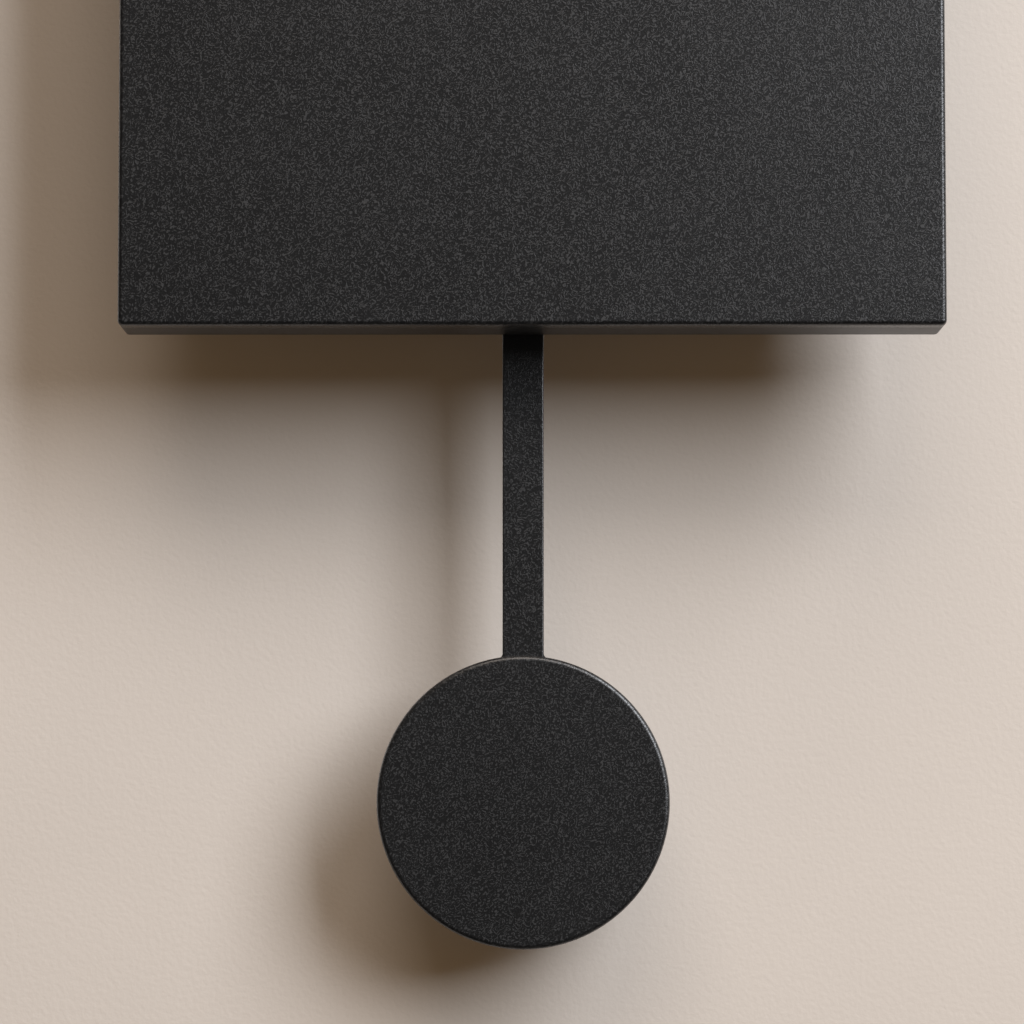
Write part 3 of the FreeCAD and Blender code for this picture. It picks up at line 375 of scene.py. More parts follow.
def battery_sleeve():
    """Plain shrink sleeve: a dark body, a pale band and bare steel ends."""
    sizes = bpy.context.scene.clock_movement
    made = Finish("battery_sleeve")
    low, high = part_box("battery")
    coords = made.add("ShaderNodeTexCoord", output="Object")
    place = (made.add("ShaderNodeSeparateXYZ", None, {0: coords}, output="X") - low.x) / (high.x - low.x)
    band = place.above(0.7) * (1.0 - place.above(0.78))
    steel = (1.0 - place.above(0.012)) + place.above(0.958)
    creases = made.noise(1.3, 4.0, 0.6, stretch=(0.3, 1.0, 1.0))
    scuffs = made.noise(4.0, 5.0, 0.7).span(0.58, 0.7)
    tone = made.mix(creases, shaded(sizes.sleeve_color, 0.9), shaded(sizes.sleeve_color, 1.1))
    tone = made.mix(band, tone, rgba((0.6, 0.6, 0.58)))
    tone = made.mix(scuffs * 0.25, tone, rgba((0.3, 0.3, 0.31)))
    tone = made.mix(steel, tone, rgba((0.6, 0.59, 0.56)))
    made.set(Base_Color=tone, Metallic=steel * 0.95, Roughness=creases * 0.12 + scuffs * 0.15 + 0.2,
             Normal=made.bump(creases, 0.03))
    return made


def phenolic_board():
    """Brown board with copper tracks and tinned pads under a thin lacquer."""
    made = Finish("phenolic_board")
    fibres = made.noise(0.6, 4.0, 0.6, stretch=(1.0, 1.0, 0.15))
    routes = made.cells(4.2, "DISTANCE_TO_EDGE")
    tracks = 1.0 - routes.span(0.06, 0.09)
    pads = 1.0 - made.cells(2.8).span(0.14, 0.17)
    tone = made.mix(fibres, rgba((0.24, 0.15, 0.06)), rgba((0.36, 0.25, 0.11)))
    tone = made.mix(tracks, tone, rgba((0.55, 0.3, 0.12)))
    tone = made.mix(pads, tone, rgba((0.66, 0.66, 0.64)))
    made.set(Base_Color=tone, Metallic=tracks.most(pads) * 0.8, Roughness=fibres * 0.15 + 0.3,
             Normal=made.bump(tracks.most(pads) * 0.8 + fibres * 0.2, 0.04))
    return made


def epoxy_blob():
    """Glossy black resin over the chip."""
    return painted("epoxy_blob", (0.012, 0.012, 0.012), 0.16, 1.2, 0.02, spread=0.3)


def plaster():
    """Painted wall: soft, slightly mottled, one-sided so that the clock's rear can be seen from behind."""
    sizes = stage_settings()
    made = Finish("plaster")
    mottle = made.noise(60.0, 4.0)
    grain = made.noise(1.6, 3.0)
    tone = made.mix(mottle, shaded(sizes.wall_color, 0.97), shaded(sizes.wall_color, 1.03))
    made.set(Base_Color=tone, Roughness=grain * 0.04 + 0.83, Normal=made.bump(grain + mottle, 0.1))
    made.shader.inputs["Specular IOR Level"].default_value = 0.2
    behind = made.add("ShaderNodeNewGeometry", output="Backfacing")
    clear = made.add("ShaderNodeBsdfTransparent")
    painted_side = Field(made, made.shader.outputs[0])
    shown = made.add("ShaderNodeMixShader", None, {0: behind, 1: painted_side, 2: clear})
    made.tree.links.new(shown.socket, made.output.inputs["Surface"])
    return made


def pale_floor():
    """Plain matt floor."""
    sizes = stage_settings()
    made = Finish("pale_floor")
    mottle = made.noise(300.0, 3.0)
    tone = made.mix(mottle, shaded(sizes.floor_color, 0.97), rgba(sizes.floor_color))
    made.set(Base_Color=tone, Roughness=0.9)
    return made


def dress(nodes, maker):
    """Give CAD nodes one finish."""
    for name in nodes:
        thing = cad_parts[name]
        thing.data.materials.clear()
        thing.data.materials.append(finish(maker))


# ---------------------------------------------------------------- building pieces
def add_piece(name, mesh, maker, body, stands_for=()):
    """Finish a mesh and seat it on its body."""
    for face in mesh.faces:
        face.smooth = True
    bmesh.ops.recalc_face_normals(mesh, faces=mesh.faces)
    data = bpy.data.meshes.new(name)
    mesh.to_mesh(data)
    mesh.free()
    data.set_sharp_from_angle(angle=math.radians(35))
    data.materials.append(finish(maker))
    piece = bpy.data.objects.new(name, data)
    bpy.context.scene.collection.objects.link(piece)
    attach(piece, body)
    if stands_for:
        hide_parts(*stands_for)


def skin(mesh, loops, ring=False):
    """Faces between each loop of points and the next; a ring of loops closes, and a row gets end caps."""
    for first, second in zip(loops, loops[1:] + loops[:1] if ring else loops[1:]):
        for number in range(len(first)):
            after = (number + 1) % len(first)
            mesh.faces.new((first[number], first[after], second[after], second[number]))
    if not ring:
        mesh.faces.new(loops[0])
        mesh.faces.new(reversed(loops[-1]))


def turned_mesh(mesh, centre, axis, outline, steps=72, ring=True):
    """Solid of revolution about an axis through centre. The outline's (along, radius) points, in millimetres,
    are a ring round a bore, or else a row with both ends beside the axis."""
    axis = Vector(axis)
    side = axis.orthogonal().normalized()
    spin = [Matrix.Rotation(2 * math.pi * step / steps, 3, axis) @ side for step in range(steps)]
    skin(mesh, [[mesh.verts.new(centre + axis * (along * MM) + way * (radius * MM)) for way in spin]
                for along, radius in outline], ring)


def coiled_mesh(mesh, path, thickness, sides=10):
    """Round wire along a list of points."""
    rings = []
    for index, point in enumerate(path):
        ahead = path[min(index + 1, len(path) - 1)] - path[max(index - 1, 0)]
        ahead.normalize()
        side = ahead.cross(Vector((0.31, 0.2, 0.93))).normalized()
        up = side.cross(ahead)
        rings.append([mesh.verts.new(point + thickness / 2 * (math.cos(turn) * side + math.sin(turn) * up))
                      for turn in [2 * math.pi * number / sides for number in range(sides)]])
    skin(mesh, rings)


def helix(centre, axis, start_radius, end_radius, length, turns, steps=36):
    """Points along a coil that may narrow towards its end."""
    axis = Vector(axis)
    side = axis.orthogonal().normalized()
    points = []
    count = int(turns * steps)
    for number in range(count + 1):
        share = number / count
        radius = start_radius + (end_radius - start_radius) * share
        way = Matrix.Rotation(2 * math.pi * turns * share, 3, axis) @ side
        points.append(centre + axis * (length * share) + way * radius)
    return points


def raised_bar(mesh, x, z, y0, y1, draft):
    """Bar from y0 out to y1 whose sides lean in by draft; x and z are (low, high)."""
    loops = []
    for y, inset in ((y0, 0.0), (y1 - (y1 - y0) * 0.25, draft * 0.7), (y1, draft * 1.6)):
        corners = [(x[0] + inset, z[0] + inset), (x[1] - inset, z[0] + inset),
                   (x[1] - inset, z[1] - inset), (x[0] + inset, z[1] - inset)]
        loops.append([mesh.verts.new((cx, y, cz)) for cx, cz in corners])
    skin(mesh, loops)


# ---------------------------------------------------------------- pieces
def make_bushing_thread():
    """Thread on the bushing where it stands proud of the nut."""
    sizes = bpy.context.scene.clock_dial
    nut_low, nut_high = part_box("dial_nut")
    housing_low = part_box("movement_housing")[0]
    middle = (nut_low + nut_high) / 2
    quarter = sizes.thread_pitch * 0.25
    root = sizes.thread_radius - quarter
    start = Vector((middle.x, housing_low.y + quarter, middle.z))
    length = nut_low.y - start.y - quarter
    mesh = bmesh.new()
    coiled_mesh(mesh, helix(start, (0.0, 1.0, 0.0), root, root, length, length / sizes.thread_pitch, 48),
                sizes.thread_pitch * 0.6, 8)
    add_piece("bushing_thread", mesh, black_plastic, "case")


def make_hand_collets():
    """Pressed collets that grip the two hands on their pipe and arbor."""
    sizes = bpy.context.scene.clock_dial
    nut_low, nut_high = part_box("dial_nut")
    tall = sizes.collet_height / MM
    for hand, shaft_radius, body in (("hour_hand", sizes.hour_pipe_radius, "hour"),
                                     ("minute_hand", sizes.minute_arbor_radius, "minute")):
        centre = Vector(((nut_low.x + nut_high.x) / 2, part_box(hand)[1].y, (nut_low.z + nut_high.z) / 2))
        bore = shaft_radius / MM * 1.01
        wide = (shaft_radius + sizes.collet_wall) / MM
        flange = wide * 1.12
        outline = [(0.0, bore), (0.0, flange), (tall * 0.3, flange), (tall * 0.45, wide),
                   (tall * 0.9, wide), (tall, wide * 0.95), (tall, bore)]
        mesh = bmesh.new()
        turned_mesh(mesh, centre, (0.0, 1.0, 0.0), outline)
        add_piece(f"{body}_collet", mesh, turned_brass, body)


def make_battery():
    """AA cell with its crimped sleeve, insulating ring and stepped nub."""
    sizes = bpy.context.scene.clock_movement
    low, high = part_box("battery")
    centre = Vector((low.x, (low.y + high.y) / 2, (low.z + high.z) / 2))
    length = (high.x - low.x) / MM
    radius = (high.z - low.z) / 2 / MM
    shoulder = length - sizes.nub_height / MM
    flat_end = [(0.35, AXIS_GAP), (0.35, radius - 2.1), (0.0, radius - 1.9), (0.0, radius - 1.0),
                (0.12, radius - 0.55), (0.2, radius - 0.2), (0.55, radius - 0.02), (0.9, radius)]
    groove = [(shoulder - 4.4, radius), (shoulder - 4.1, radius - 0.1), (shoulder - 3.7, radius - 0.1),
              (shoulder - 3.4, radius), (shoulder - 0.8, radius)]
    crimp = [(shoulder - 0.35, radius - 0.12), (shoulder - 0.05, radius - 0.6), (shoulder, radius - 1.2),
             (shoulder - 0.25, radius - 1.6), (shoulder - 0.25, 3.1)]
    nub = [(shoulder, 2.85), (length - 0.25, 2.75), (length, 2.5), (length, AXIS_GAP)]
    mesh = bmesh.new()
    turned_mesh(mesh, centre, (1.0, 0.0, 0.0), flat_end + groove + crimp + nub, 96, ring=False)
    add_piece("battery_cell", mesh, battery_sleeve, "case", ["battery"])


def make_contact_spring():
    """Plate and conical spring that press on the flat end of the cell."""
    sizes = bpy.context.scene.clock_movement
    low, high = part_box("battery_contact_minus")
    cell_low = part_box("battery")[0]
    plate_face = low.x + sizes.contact_plate
    mesh = bmesh.new()
    raised_bar(mesh, (low.x, plate_face), (low.z, high.z), low.y, high.y, 0.02 * MM)
    centre = Vector((plate_face + sizes.spring_wire / 2, (low.y + high.y) / 2, (low.z + high.z) / 2))
    length = cell_low.x - centre.x - sizes.spring_wire / 2
    coiled_mesh(mesh, helix(centre, (1.0, 0.0, 0.0), 3.3 * MM, 1.5 * MM, length, sizes.spring_turns),
                sizes.spring_wire)
    add_piece("contact_spring", mesh, nickel_plate, "case", ["battery_contact_minus"])


def make_cover_relief():
    """Stiffening ribs, a lip round the battery bay and pivot bosses on the movement's rear face."""
    sizes = bpy.context.scene.clock_movement
    low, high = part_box("movement_cover")
    cell_low, cell_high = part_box("battery")
    pin_low, pin_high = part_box("yoke_pin")
    face = high.y
    top = face + sizes.relief_height
    draft = 0.12 * MM
    width = sizes.rib_width
    bay_low = cell_low.z - 1.9 * MM
    bay_high = cell_high.z + 0.7 * MM
    lip_inset = 2.0 * MM
    side_rib = high.x - 9.0 * MM
    side_rib_inset = 8.0 * MM
    grip_side = 15.0 * MM
    grip_half = 2.5 * MM
    grip_start = low.z + 10.0 * MM
    mesh = bmesh.new()
    for z in (bay_low, bay_high):
        raised_bar(mesh, (low.x + lip_inset, high.x - lip_inset), (z, z + width), face, top, draft)
    for side in (-1, 1):
        across = (side * side_rib - width / 2, side * side_rib + width / 2)
        for span in ((low.z + side_rib_inset, bay_low), (bay_high + width, high.z - side_rib_inset)):
            raised_bar(mesh, across, span, face, top, draft)
    for number in range(sizes.grip_ribs):
        z = grip_start + number * sizes.grip_pitch
        for x in (-grip_side, grip_side):
            raised_bar(mesh, (x - grip_half, x + grip_half), (z, z + width), face, top, draft)
    tall = sizes.relief_height / MM
    for x, z, radius in ((-12.0, 14.0, 2.4), (11.0, 17.0, 2.4), (0.0, 20.0, 2.0), (16.0, 9.0, 1.8)):
        boss = [(0.0, AXIS_GAP), (0.0, radius), (tall * 0.7, radius - 0.1), (tall, radius - 0.25),
                (tall, radius * 0.5), (tall * 0.4, radius * 0.42), (tall * 0.4, AXIS_GAP)]
        turned_mesh(mesh, Vector((x * MM, face, bay_high + z * MM)), (0.0, 1.0, 0.0), boss, 48, ring=False)
    pin = Vector(((pin_low.x + pin_high.x) / 2, face, (pin_low.z + pin_high.z) / 2))
    pin_seat = [(0.0, AXIS_GAP), (0.0, 2.6), (0.3, 2.4), (0.3, AXIS_GAP)]
    turned_mesh(mesh, pin, (0.0, 1.0, 0.0), pin_seat, 48, ring=False)
    add_piece("cover_relief", mesh, black_plastic, "case")


def make_knob_marks():
    """Raised ring and two-way arrow on the setting knob's rear face."""
    sizes = bpy.context.scene.clock_movement
    low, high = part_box("setting_knob")
    middle = (low + high) / 2
    sunk = 0.1
    face = high.y
    root = face - sunk * MM
    top = face + sizes.relief_height
    tall = sizes.relief_height / MM
    mesh = bmesh.new()
    turned_mesh(mesh, Vector((middle.x, face, middle.z)), (0.0, 1.0, 0.0),
                [(-sunk, 3.75), (tall, 3.65), (tall, 3.35), (-sunk, 3.25)])
    raised_bar(mesh, (middle.x - 1.9 * MM, middle.x + 1.9 * MM),
               (middle.z + 1.75 * MM, middle.z + 2.15 * MM), root, top, 0.04 * MM)
    for side in (-1, 1):
        corners = [(side * 2.7, 1.95), (side * 1.7, 2.65), (side * 1.7, 1.25)]
        skin(mesh, [[mesh.verts.new((middle.x + x * MM, y, middle.z + z * MM)) for x, z in corners]
                    for y in (root, top)])
    add_piece("knob_marks", mesh, black_plastic, "minute")


def make_rod_flare():
    """Small fillets where the rod runs into the bob's rim."""
    sizes = bpy.context.scene.clock_pendulum
    rod_low, rod_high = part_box("pendulum_rod")
    bob_low, bob_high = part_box("bob_front")
    middle_x = (rod_low.x + rod_high.x) / 2
    half = (rod_high.x - rod_low.x) / 2
    bob_z = (bob_low.z + bob_high.z) / 2
    bob_radius = (bob_high.x - bob_low.x) / 2
    reach = sizes.flare
    sunk = 0.8 * MM
    inner = half - 0.4 * MM
    edge_gap = 0.35 * MM
    arc_steps = 8

    def rim(out):
        """Height of the bob's rim at a distance out from the rod's edge."""
        return bob_z + math.sqrt(bob_radius ** 2 - (half + out) ** 2)

    outline = [(inner, rim(0.0) - sunk), (inner, rim(0.0) + reach)]
    for number in range(arc_steps + 1):
        turn = math.radians(180 + 90 * number / arc_steps)
        out = reach + reach * math.cos(turn)
        outline.append((half + out, rim(out) + reach + reach * math.sin(turn)))
    outline.append((half + reach, rim(reach) - sunk))
    mesh = bmesh.new()
    for side in (-1, 1):
        skin(mesh, [[mesh.verts.new((middle_x + side * x, y, z)) for x, z in outline]
                    for y in (rod_low.y + edge_gap, rod_high.y - edge_gap)])
    add_piece("rod_flare", mesh, powder_coat, "pendulum")


# ---------------------------------------------------------------- stage
def area_light(name, place, aim, width, height, power, color):
    """Softbox that the camera doesn't see."""
    data = bpy.data.lights.new(name, "AREA")
    data.shape = "RECTANGLE"
    data.size = width
    data.size_y = height
    data.energy = power
    data.color = color
    light = bpy.data.objects.new(name, data)
    light.location = place
    light.rotation_mode = "QUATERNION"
    light.rotation_quaternion = (Vector(aim) - Vector(place)).to_track_quat("-Z", "Y")
    light.visible_camera = False
    bpy.context.scene.collection.objects.link(light)


def flat_sheet(name, corners, maker):
    """Four-cornered surface with one finish."""
    mesh = bpy.data.meshes.new(name)
    mesh.from_pydata(corners, [], [(0, 1, 2, 3)])
    mesh.materials.append(finish(maker))
    sheet = bpy.data.objects.new(name, mesh)
    bpy.context.scene.collection.objects.link(sheet)
    return sheet


def make_wall():
    """Wall behind the clock. Light from behind passes through it to the clock's rear."""
    sizes = stage_settings()
    half = sizes.wall_width / 2
    near = sizes.wall_gap
    wall = flat_sheet("wall", [(half, near, sizes.floor_level), (-half, near, sizes.floor_level),
                               (-half, near, half), (half, near, half)], plaster)
    wall.data.flip_normals()
    wall.visible_shadow = False


def make_floor():
    """Floor that sends no light back to the wall and the clock."""
    sizes = stage_settings()
    reach = sizes.floor_width / 2
    level = sizes.floor_level
    floor = flat_sheet("floor", [(-reach, -reach, level), (reach, -reach, level), (reach, reach, level),
                                 (-reach, reach, level)], pale_floor)
    floor.visible_diffuse = False
    floor.visible_glossy = False


def make_lights():
    """Key softbox up on the right, fill softbox higher in the middle, and a softbox on each side behind."""
    sizes = stage_settings()
    low, high = CAD_BOX
    middle = Vector((0.0, 0.0, (low.z + high.z) / 2))
    key = middle + Vector(sizes.key_direction) * sizes.key_distance
    area_light("key_softbox", key, middle, sizes.key_width, sizes.key_height,
               sizes.key_power, sizes.key_color)
    fill = middle + Vector(sizes.fill_direction) * sizes.key_distance
    area_light("fill_softbox", fill, middle, sizes.fill_size, sizes.fill_size,
               sizes.fill_power, sizes.fill_color)
    for side in (-1, 1):
        rear = middle + Vector((side * sizes.rear_side, sizes.rear_distance, sizes.rear_rise))
        area_light(f"rear_softbox_{side + 1}", rear, middle, sizes.rear_size, sizes.rear_size,
                   sizes.rear_power, (1.0, 1.0, 1.0))


def background(tree, color, strength=1.0):
    """Even light from all round."""
    node = tree.nodes.new("ShaderNodeBackground")
    node.inputs["Color"].default_value = rgba(color)
    node.inputs["Strength"].default_value = strength
    return node.outputs[0]


def pick(tree, ray, others, chosen):
    """One background for a kind of ray, and another for all others."""
    path = tree.nodes.new("ShaderNodeLightPath")
    mixer = tree.nodes.new("ShaderNodeMixShader")
    for socket, source in zip(mixer.inputs, (path.outputs[ray], others, chosen)):
        tree.links.new(source, socket)
    return mixer.outputs[0]


def make_room():
    """Warm light that fills shadows, dimmer in reflections, and a pale backdrop where the wall ends."""
    sizes = stage_settings()
    world = bpy.data.worlds.new("room")
    bpy.context.scene.world = world
    world.use_nodes = True
    tree = world.node_tree
    tree.nodes.clear()
    output = tree.nodes.new("ShaderNodeOutputWorld")
    shadows = background(tree, sizes.room_color, sizes.room_strength)
    reflected = background(tree, sizes.backdrop_color, sizes.room_strength * sizes.room_sheen)
    backdrop = background(tree, sizes.backdrop_color)
    unseen = pick(tree, "Is Glossy Ray", shadows, reflected)
    tree.links.new(pick(tree, "Is Camera Ray", unseen, backdrop), output.inputs["Surface"])
    bpy.context.scene.view_settings.view_transform = "Standard"
    bpy.context.scene.view_settings.look = "None"


def make_camera():
    """Camera level with the bob, tilted up a little."""
    sizes = stage_settings()
    bob_low, bob_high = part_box("bob_front")
    case_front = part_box("front_cover")[0].y
    rise = sizes.eye_distance * math.tan(math.radians(sizes.eye_tilt))
    eye = Vector((sizes.eye_side, case_front - sizes.eye_distance,
                  (bob_low.z + bob_high.z) / 2 - sizes.eye_below_bob))
    aim = Vector((sizes.aim_side, case_front, eye.z + rise))
    data = bpy.data.cameras.new("camera")
    data.sensor_width = 36.0
    data.lens = sizes.lens
    data.clip_start = 0.05
    data.clip_end = 40.0
    camera = bpy.data.objects.new("camera", data)
    camera.location = eye
    camera.rotation_mode = "QUATERNION"
    camera.rotation_quaternion = (aim - eye).to_track_quat("-Z", "Y")
    bpy.context.scene.collection.objects.link(camera)
    bpy.context.scene.camera = camera


# ---------------------------------------------------------------- settings
class CoatSettings(bpy.types.PropertyGroup):
    """Look of the powder coats"""
    color: FloatVectorProperty(name="Coat colour", description="Colour of the powder coat", subtype="COLOR",
                               size=3, min=0.0, max=1.0, default=(0.0038, 0.0037, 0.0038))
    roughness: FloatProperty(name="Coat roughness", description="Roughness between the coat's ridges",
                             min=0.05, max=1.0, default=0.31)
    gloss: FloatProperty(name="Coat gloss", description="Strength of the coat's reflections", min=0.0,
                         max=1.0, default=0.95)
    sheen: FloatVectorProperty(name="Coat sheen", description="Tint of the coat's reflections",
                               subtype="COLOR", size=3, min=0.0, max=1.0, default=(0.93, 0.95, 1.0))
    wrinkle_size: FloatProperty(name="Wrinkle size",
                                description="Width of the coat's wrinkles, in millimetres", min=0.2,
                                max=5.0, default=0.72)
    wrinkle_depth: FloatProperty(name="Wrinkle depth", description="Height of the wrinkles, in millimetres",
                                 min=0.0, max=0.5, default=0.028)
    satin_roughness: FloatProperty(name="Satin roughness", description="Roughness of the smooth coat",
                                   min=0.05, max=1.0, default=0.42)
    peel_depth: FloatProperty(name="Orange peel depth",
                              description="Depth of the smooth coat's orange peel, in millimetres", min=0.0,
                              max=0.2, default=0.02)


class DialSettings(bpy.types.PropertyGroup):
    """Sizes of the fine pieces at the dial's middle"""
    thread_radius: FloatProperty(name="Thread radius", description="Outside radius of the bushing's thread",
                                 unit="LENGTH", precision=5, default=0.004)
    thread_pitch: FloatProperty(name="Thread pitch", description="Pitch of the bushing's thread",
                                unit="LENGTH", precision=5, default=0.0005)
    hour_pipe_radius: FloatProperty(name="Hour pipe radius",
                                    description="Radius of the pipe in the hour collet", unit="LENGTH",
                                    precision=5, default=0.0025)
    minute_arbor_radius: FloatProperty(name="Minute arbor radius", description="Radius of the minute arbor",
                                       unit="LENGTH", precision=5, default=0.0015)
    collet_wall: FloatProperty(name="Collet wall", description="Thickness of the hands' collets",
                               unit="LENGTH", precision=5, default=0.0007)
    collet_height: FloatProperty(name="Collet height", description="Height of the hands' collets",
                                 unit="LENGTH", precision=5, default=0.0007)


class MovementSettings(bpy.types.PropertyGroup):
    """Sizes of the fine pieces on the movement"""
    sleeve_color: FloatVectorProperty(name="Sleeve colour", description="Colour of the cell's sleeve",
                                      subtype="COLOR", size=3, min=0.0, max=1.0,
                                      default=(0.03, 0.055, 0.09))
    relief_height: FloatProperty(name="Relief height",
                                 description="Height of the ribs on the movement's rear", unit="LENGTH",
                                 precision=5, default=0.00035)
    rib_width: FloatProperty(name="Rib width", description="Width of the ribs on the movement's rear",
                             unit="LENGTH", precision=5, default=0.0009)
    grip_ribs: IntProperty(name="Grip ribs", description="Number of short ribs on each side", min=0, max=12,
                           default=6)
    grip_pitch: FloatProperty(name="Grip pitch", description="Distance between the short ribs",
                              unit="LENGTH", precision=5, default=0.0022)
    nub_height: FloatProperty(name="Nub height", description="Height of the cell's nub", unit="LENGTH",
                              precision=5, default=0.001)
    contact_plate: FloatProperty(name="Contact plate",
                                 description="Thickness of the contact spring's plate", unit="LENGTH",
                                 precision=5, default=0.0003)
    spring_wire: FloatProperty(name="Spring wire", description="Wire thickness of the contact spring",
                               unit="LENGTH", precision=5, default=0.0004)
    spring_turns: FloatProperty(name="Spring turns", description="Turns of the contact spring",
                                default=2.25)


class PendulumSettings(bpy.types.PropertyGroup):
    """Sizes of the fine pieces on the pendulum"""
    flare: FloatProperty(name="Rod flare", description="Radius of the fillets between the rod and the bob",
                         unit="LENGTH", precision=5, default=0.0011)


class StageSettings(bpy.types.PropertyGroup):
    """Wall, floor, lights and camera"""
    wall_color: FloatVectorProperty(name="Wall colour", description="Colour of the painted wall",
                                    subtype="COLOR", size=3, min=0.0, max=1.0, default=(0.69, 0.652, 0.622))
    floor_color: FloatVectorProperty(name="Floor colour", description="Colour of the floor",
                                     subtype="COLOR", size=3, min=0.0, max=1.0, default=(0.52, 0.5, 0.47))
    room_color: FloatVectorProperty(name="Room light colour",
                                    description="Colour of the light that fills shadows", subtype="COLOR",
                                    size=3, min=0.0, max=1.0, default=(1.0, 0.65, 0.34))
    room_strength: FloatProperty(name="Room light", description="Strength of the light that fills shadows",
                                 min=0.0, max=2.0, default=0.14)
    room_sheen: FloatProperty(name="Room sheen",
                              description="Share of the room light that shows in reflections", min=0.0,
                              max=1.0, default=0.45)
    backdrop_color: FloatVectorProperty(name="Backdrop colour",
                                        description="Colour beyond the wall's edges", subtype="COLOR",
                                        size=3, min=0.0, max=1.0, default=(0.62, 0.59, 0.56))
    wall_width: FloatProperty(name="Wall width", description="Width of the wall behind the clock",
                              unit="LENGTH", default=2.4)
    wall_gap: FloatProperty(name="Wall gap", description="Gap between the clock's rear and the wall",
                            unit="LENGTH", default=0.0003)
    floor_level: FloatProperty(name="Floor level", description="Height of the floor", unit="LENGTH",
                               default=-1.0)
    floor_width: FloatProperty(name="Floor width", description="Side of the square floor", unit="LENGTH",
                               default=16.0)
    key_direction: FloatVectorProperty(name="Key direction",
                                       description="Way to the key light, per metre out", size=3,
                                       default=(0.86, -1.0, 0.68))
    key_distance: FloatProperty(name="Key distance",
                                description="How far out from the wall the key light is", unit="LENGTH",
                                default=2.0)
    key_width: FloatProperty(name="Key width", description="Width of the key softbox", unit="LENGTH",
                             default=1.4)
    key_height: FloatProperty(name="Key height", description="Height of the key softbox", unit="LENGTH",
                              default=2.4)
    key_power: FloatProperty(name="Key power", description="Power of the key softbox, in watts",
                             default=100.0)
    key_color: FloatVectorProperty(name="Key colour", description="Colour of the key light",
                                   subtype="COLOR", size=3, min=0.0, max=1.0, default=(1.0, 1.0, 1.0))
    fill_direction: FloatVectorProperty(name="Fill direction",
                                        description="Way to the fill light, per metre out", size=3,
                                        default=(-0.1, -1.0, 1.35))
    fill_size: FloatProperty(name="Fill size", description="Side of the square fill softbox", unit="LENGTH",
                             default=2.0)
    fill_power: FloatProperty(name="Fill power", description="Power of the fill softbox, in watts",
                              default=44.0)
    fill_color: FloatVectorProperty(name="Fill colour", description="Colour of the fill light",
                                    subtype="COLOR", size=3, min=0.0, max=1.0, default=(1.0, 0.86, 0.73))
    rear_power: FloatProperty(name="Rear power",
                              description="Power of each light behind the clock, in watts", default=28.0)
    rear_side: FloatProperty(name="Rear side", description="How far to each side the rear lights are",
                             unit="LENGTH", default=2.2)
    rear_distance: FloatProperty(name="Rear distance",
                                 description="How far behind the wall the rear lights are", unit="LENGTH",
                                 default=2.4)
    rear_rise: FloatProperty(name="Rear rise",
                             description="Height of the rear lights over the clock's middle", unit="LENGTH",
                             default=0.35)
    rear_size: FloatProperty(name="Rear size", description="Side of each square light behind the clock",
                             unit="LENGTH", default=2.0)
    lens: FloatProperty(name="Lens", description="Focal length of the camera, in millimetres",
                        default=152.3)
    eye_distance: FloatProperty(name="Eye distance", description="From the case's front to the camera",
                                unit="LENGTH", default=1.245)
    eye_below_bob: FloatProperty(name="Eye below bob", description="Camera's height below the bob's middle",
                                 unit="LENGTH", default=0.0074)
    eye_side: FloatProperty(name="Eye side", description="Camera's place to the right of the case's middle",
                            unit="LENGTH", default=-0.0034)
    aim_side: FloatProperty(name="Aim side", description="Aimed point's place to the right of the middle",
                            unit="LENGTH", default=-0.00582)
    eye_tilt: FloatProperty(name="Eye tilt", description="Camera's upward tilt, in degrees", default=4.167)


# ---------------------------------------------------------------- operators
class ClockStage(bpy.types.Operator):
    """Wall, floor, soft light and camera"""
    bl_idname = "clock.stage"
    bl_label = "Stage"

    def execute(self, context):
        make_wall()
        make_floor()
        make_lights()
        make_room()
        make_camera()
        return {"FINISHED"}


class ClockCase(bpy.types.Operator):
    """Finish of the front cover and the rear pan"""
    bl_idname = "clock.case"
    bl_label = "Case"

    def execute(self, context):
        dress(["front_cover", "cover_posts"], powder_coat)
        dress(["case_body", "seam_lip"], satin_coat)
        dress(["cover_screws"], black_steel)
        return {"FINISHED"}


class ClockBracket(bpy.types.Operator):
    """Finish of the wall bracket, its fixings and the spacers"""
    bl_idname = "clock.bracket"
    bl_label = "Bracket"

    def execute(self, context):
        dress(["bracket_plate", "bracket_rails"], satin_coat)
        dress(["bracket_screws"], black_steel)
        dress(["bracket_nuts", "hanger_plate", "hanger_rivets", "spacer_screws"], zinc_plate)
        dress(["wall_spacers"], sawn_aluminium)
        dress(["spacer_tips"], rubber)
        return {"FINISHED"}


class ClockDial(bpy.types.Operator):
    """Finish of the batons, hands and dial fixings, with the thread and collets"""
    bl_idname = "clock.dial"
    bl_label = "Dial"

    def execute(self, context):
        dress(["hour_markers", "hour_hand", "minute_hand", "hand_cap"], satin_metal)
        dress(["dial_washer", "dial_nut"], turned_brass)
        dress(["dial_gasket"], rubber)
        make_bushing_thread()
        make_hand_collets()
        return {"FINISHED"}


class ClockMovement(bpy.types.Operator):
    """Finish of the movement, with the relief on its rear"""
    bl_idname = "clock.movement"
    bl_label = "Movement"

    def execute(self, context):
        dress(["movement_housing", "movement_cover", "setting_knob"], black_plastic)
        dress(["movement_screws"], zinc_plate)
        make_cover_relief()
        make_knob_marks()
        return {"FINISHED"}


class ClockBattery(bpy.types.Operator):
    """The cell and its contacts"""
    bl_idname = "clock.battery"
    bl_label = "Battery"

    def execute(self, context):
        dress(["battery_contact_plus"], nickel_plate)
        make_battery()
        make_contact_spring()
        return {"FINISHED"}


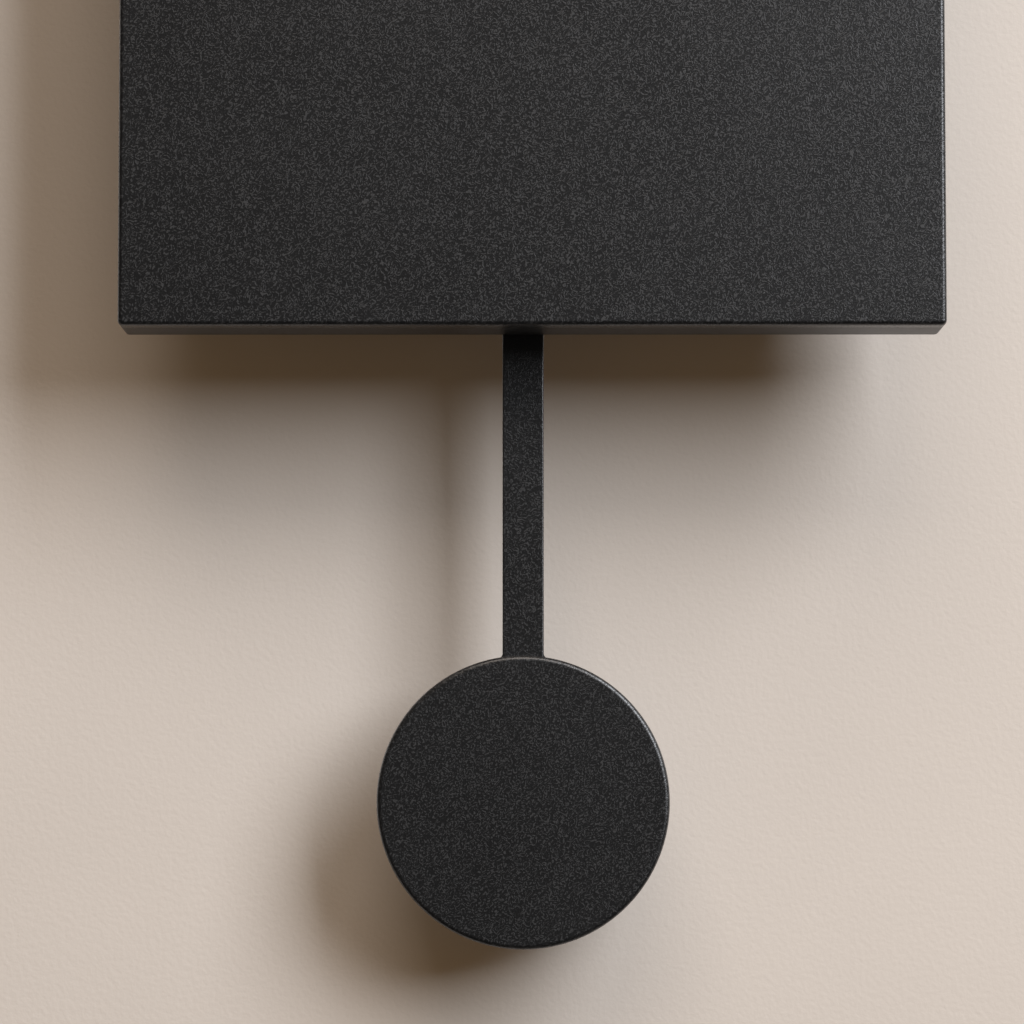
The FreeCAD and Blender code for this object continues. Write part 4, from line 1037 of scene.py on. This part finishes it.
class ClockMotor(bpy.types.Operator):
    """Finish of the circuit, the stepper motor and the pendulum drive"""
    bl_idname = "clock.motor"
    bl_label = "Motor"

    def execute(self, context):
        dress(["circuit_board"], phenolic_board)
        dress(["control_chip"], epoxy_blob)
        dress(["quartz_crystal", "motor_stator", "drive_core"], nickel_plate)
        dress(["motor_coil", "drive_coil"], copper_winding)
        dress(["rotor_magnet"], sintered_magnet)
        return {"FINISHED"}


class ClockTrain(bpy.types.Operator):
    """Finish of the wheels and arbors"""
    bl_idname = "clock.train"
    bl_label = "Train"

    def execute(self, context):
        dress(["hour_wheel", "centre_wheel", "motion_wheel", "third_wheel", "seconds_wheel",
               "intermediate_wheel", "rotor_pinion"], acetal)
        dress(["minute_arbor", "clutch_spring"], turned_brass)
        return {"FINISHED"}


class ClockPendulum(bpy.types.Operator):
    """Finish of the pendulum, with the fillets at its bob"""
    bl_idname = "clock.pendulum"
    bl_label = "Pendulum"

    def execute(self, context):
        dress(["pendulum_rod", "bob_front", "bob_back"], powder_coat)
        dress(["bob_screws"], black_steel)
        dress(["bob_clamp"], sawn_aluminium)
        dress(["pendulum_yoke", "peg_cap"], black_plastic)
        dress(["yoke_magnet"], sintered_magnet)
        dress(["yoke_pin", "pin_clip"], nickel_plate)
        dress(["rod_hanger", "rod_rivets"], zinc_plate)
        make_rod_flare()
        return {"FINISHED"}


class ClockPanel(bpy.types.Panel):
    """Everything that makes up the clock, in one list"""
    bl_idname = "VIEW3D_PT_clock"
    bl_label = "Pendulum wall clock"
    bl_space_type = "VIEW_3D"
    bl_region_type = "UI"
    bl_category = "Clock"

    def draw(self, context):
        column = self.layout.column(align=True)
        for operator in OPERATORS:
            column.operator(operator.bl_idname)
        for place in SETTINGS:
            settings = getattr(context.scene, place)
            box = self.layout.box()
            for name in settings.__annotations__:
                box.prop(settings, name)


SETTINGS = {"clock_coat": CoatSettings, "clock_dial": DialSettings, "clock_movement": MovementSettings,
            "clock_pendulum": PendulumSettings, "clock_stage": StageSettings}
OPERATORS = [ClockStage, ClockCase, ClockBracket, ClockDial, ClockMovement, ClockBattery, ClockMotor,
             ClockTrain, ClockPendulum]


def register():
    for group in SETTINGS.values():
        bpy.utils.register_class(group)
    for name, group in SETTINGS.items():
        setattr(bpy.types.Scene, name, PointerProperty(type=group))
    for operator in OPERATORS:
        bpy.utils.register_class(operator)
    bpy.utils.register_class(ClockPanel)


def unregister():
    bpy.utils.unregister_class(ClockPanel)
    for operator in reversed(OPERATORS):
        bpy.utils.unregister_class(operator)
    for name, group in SETTINGS.items():
        delattr(bpy.types.Scene, name)
        bpy.utils.unregister_class(group)


def main():
    register()
    for operator in OPERATORS:
        group, name = operator.bl_idname.split(".")
        getattr(getattr(bpy.ops, group), name)()


if __name__ == "__main__":
    main()
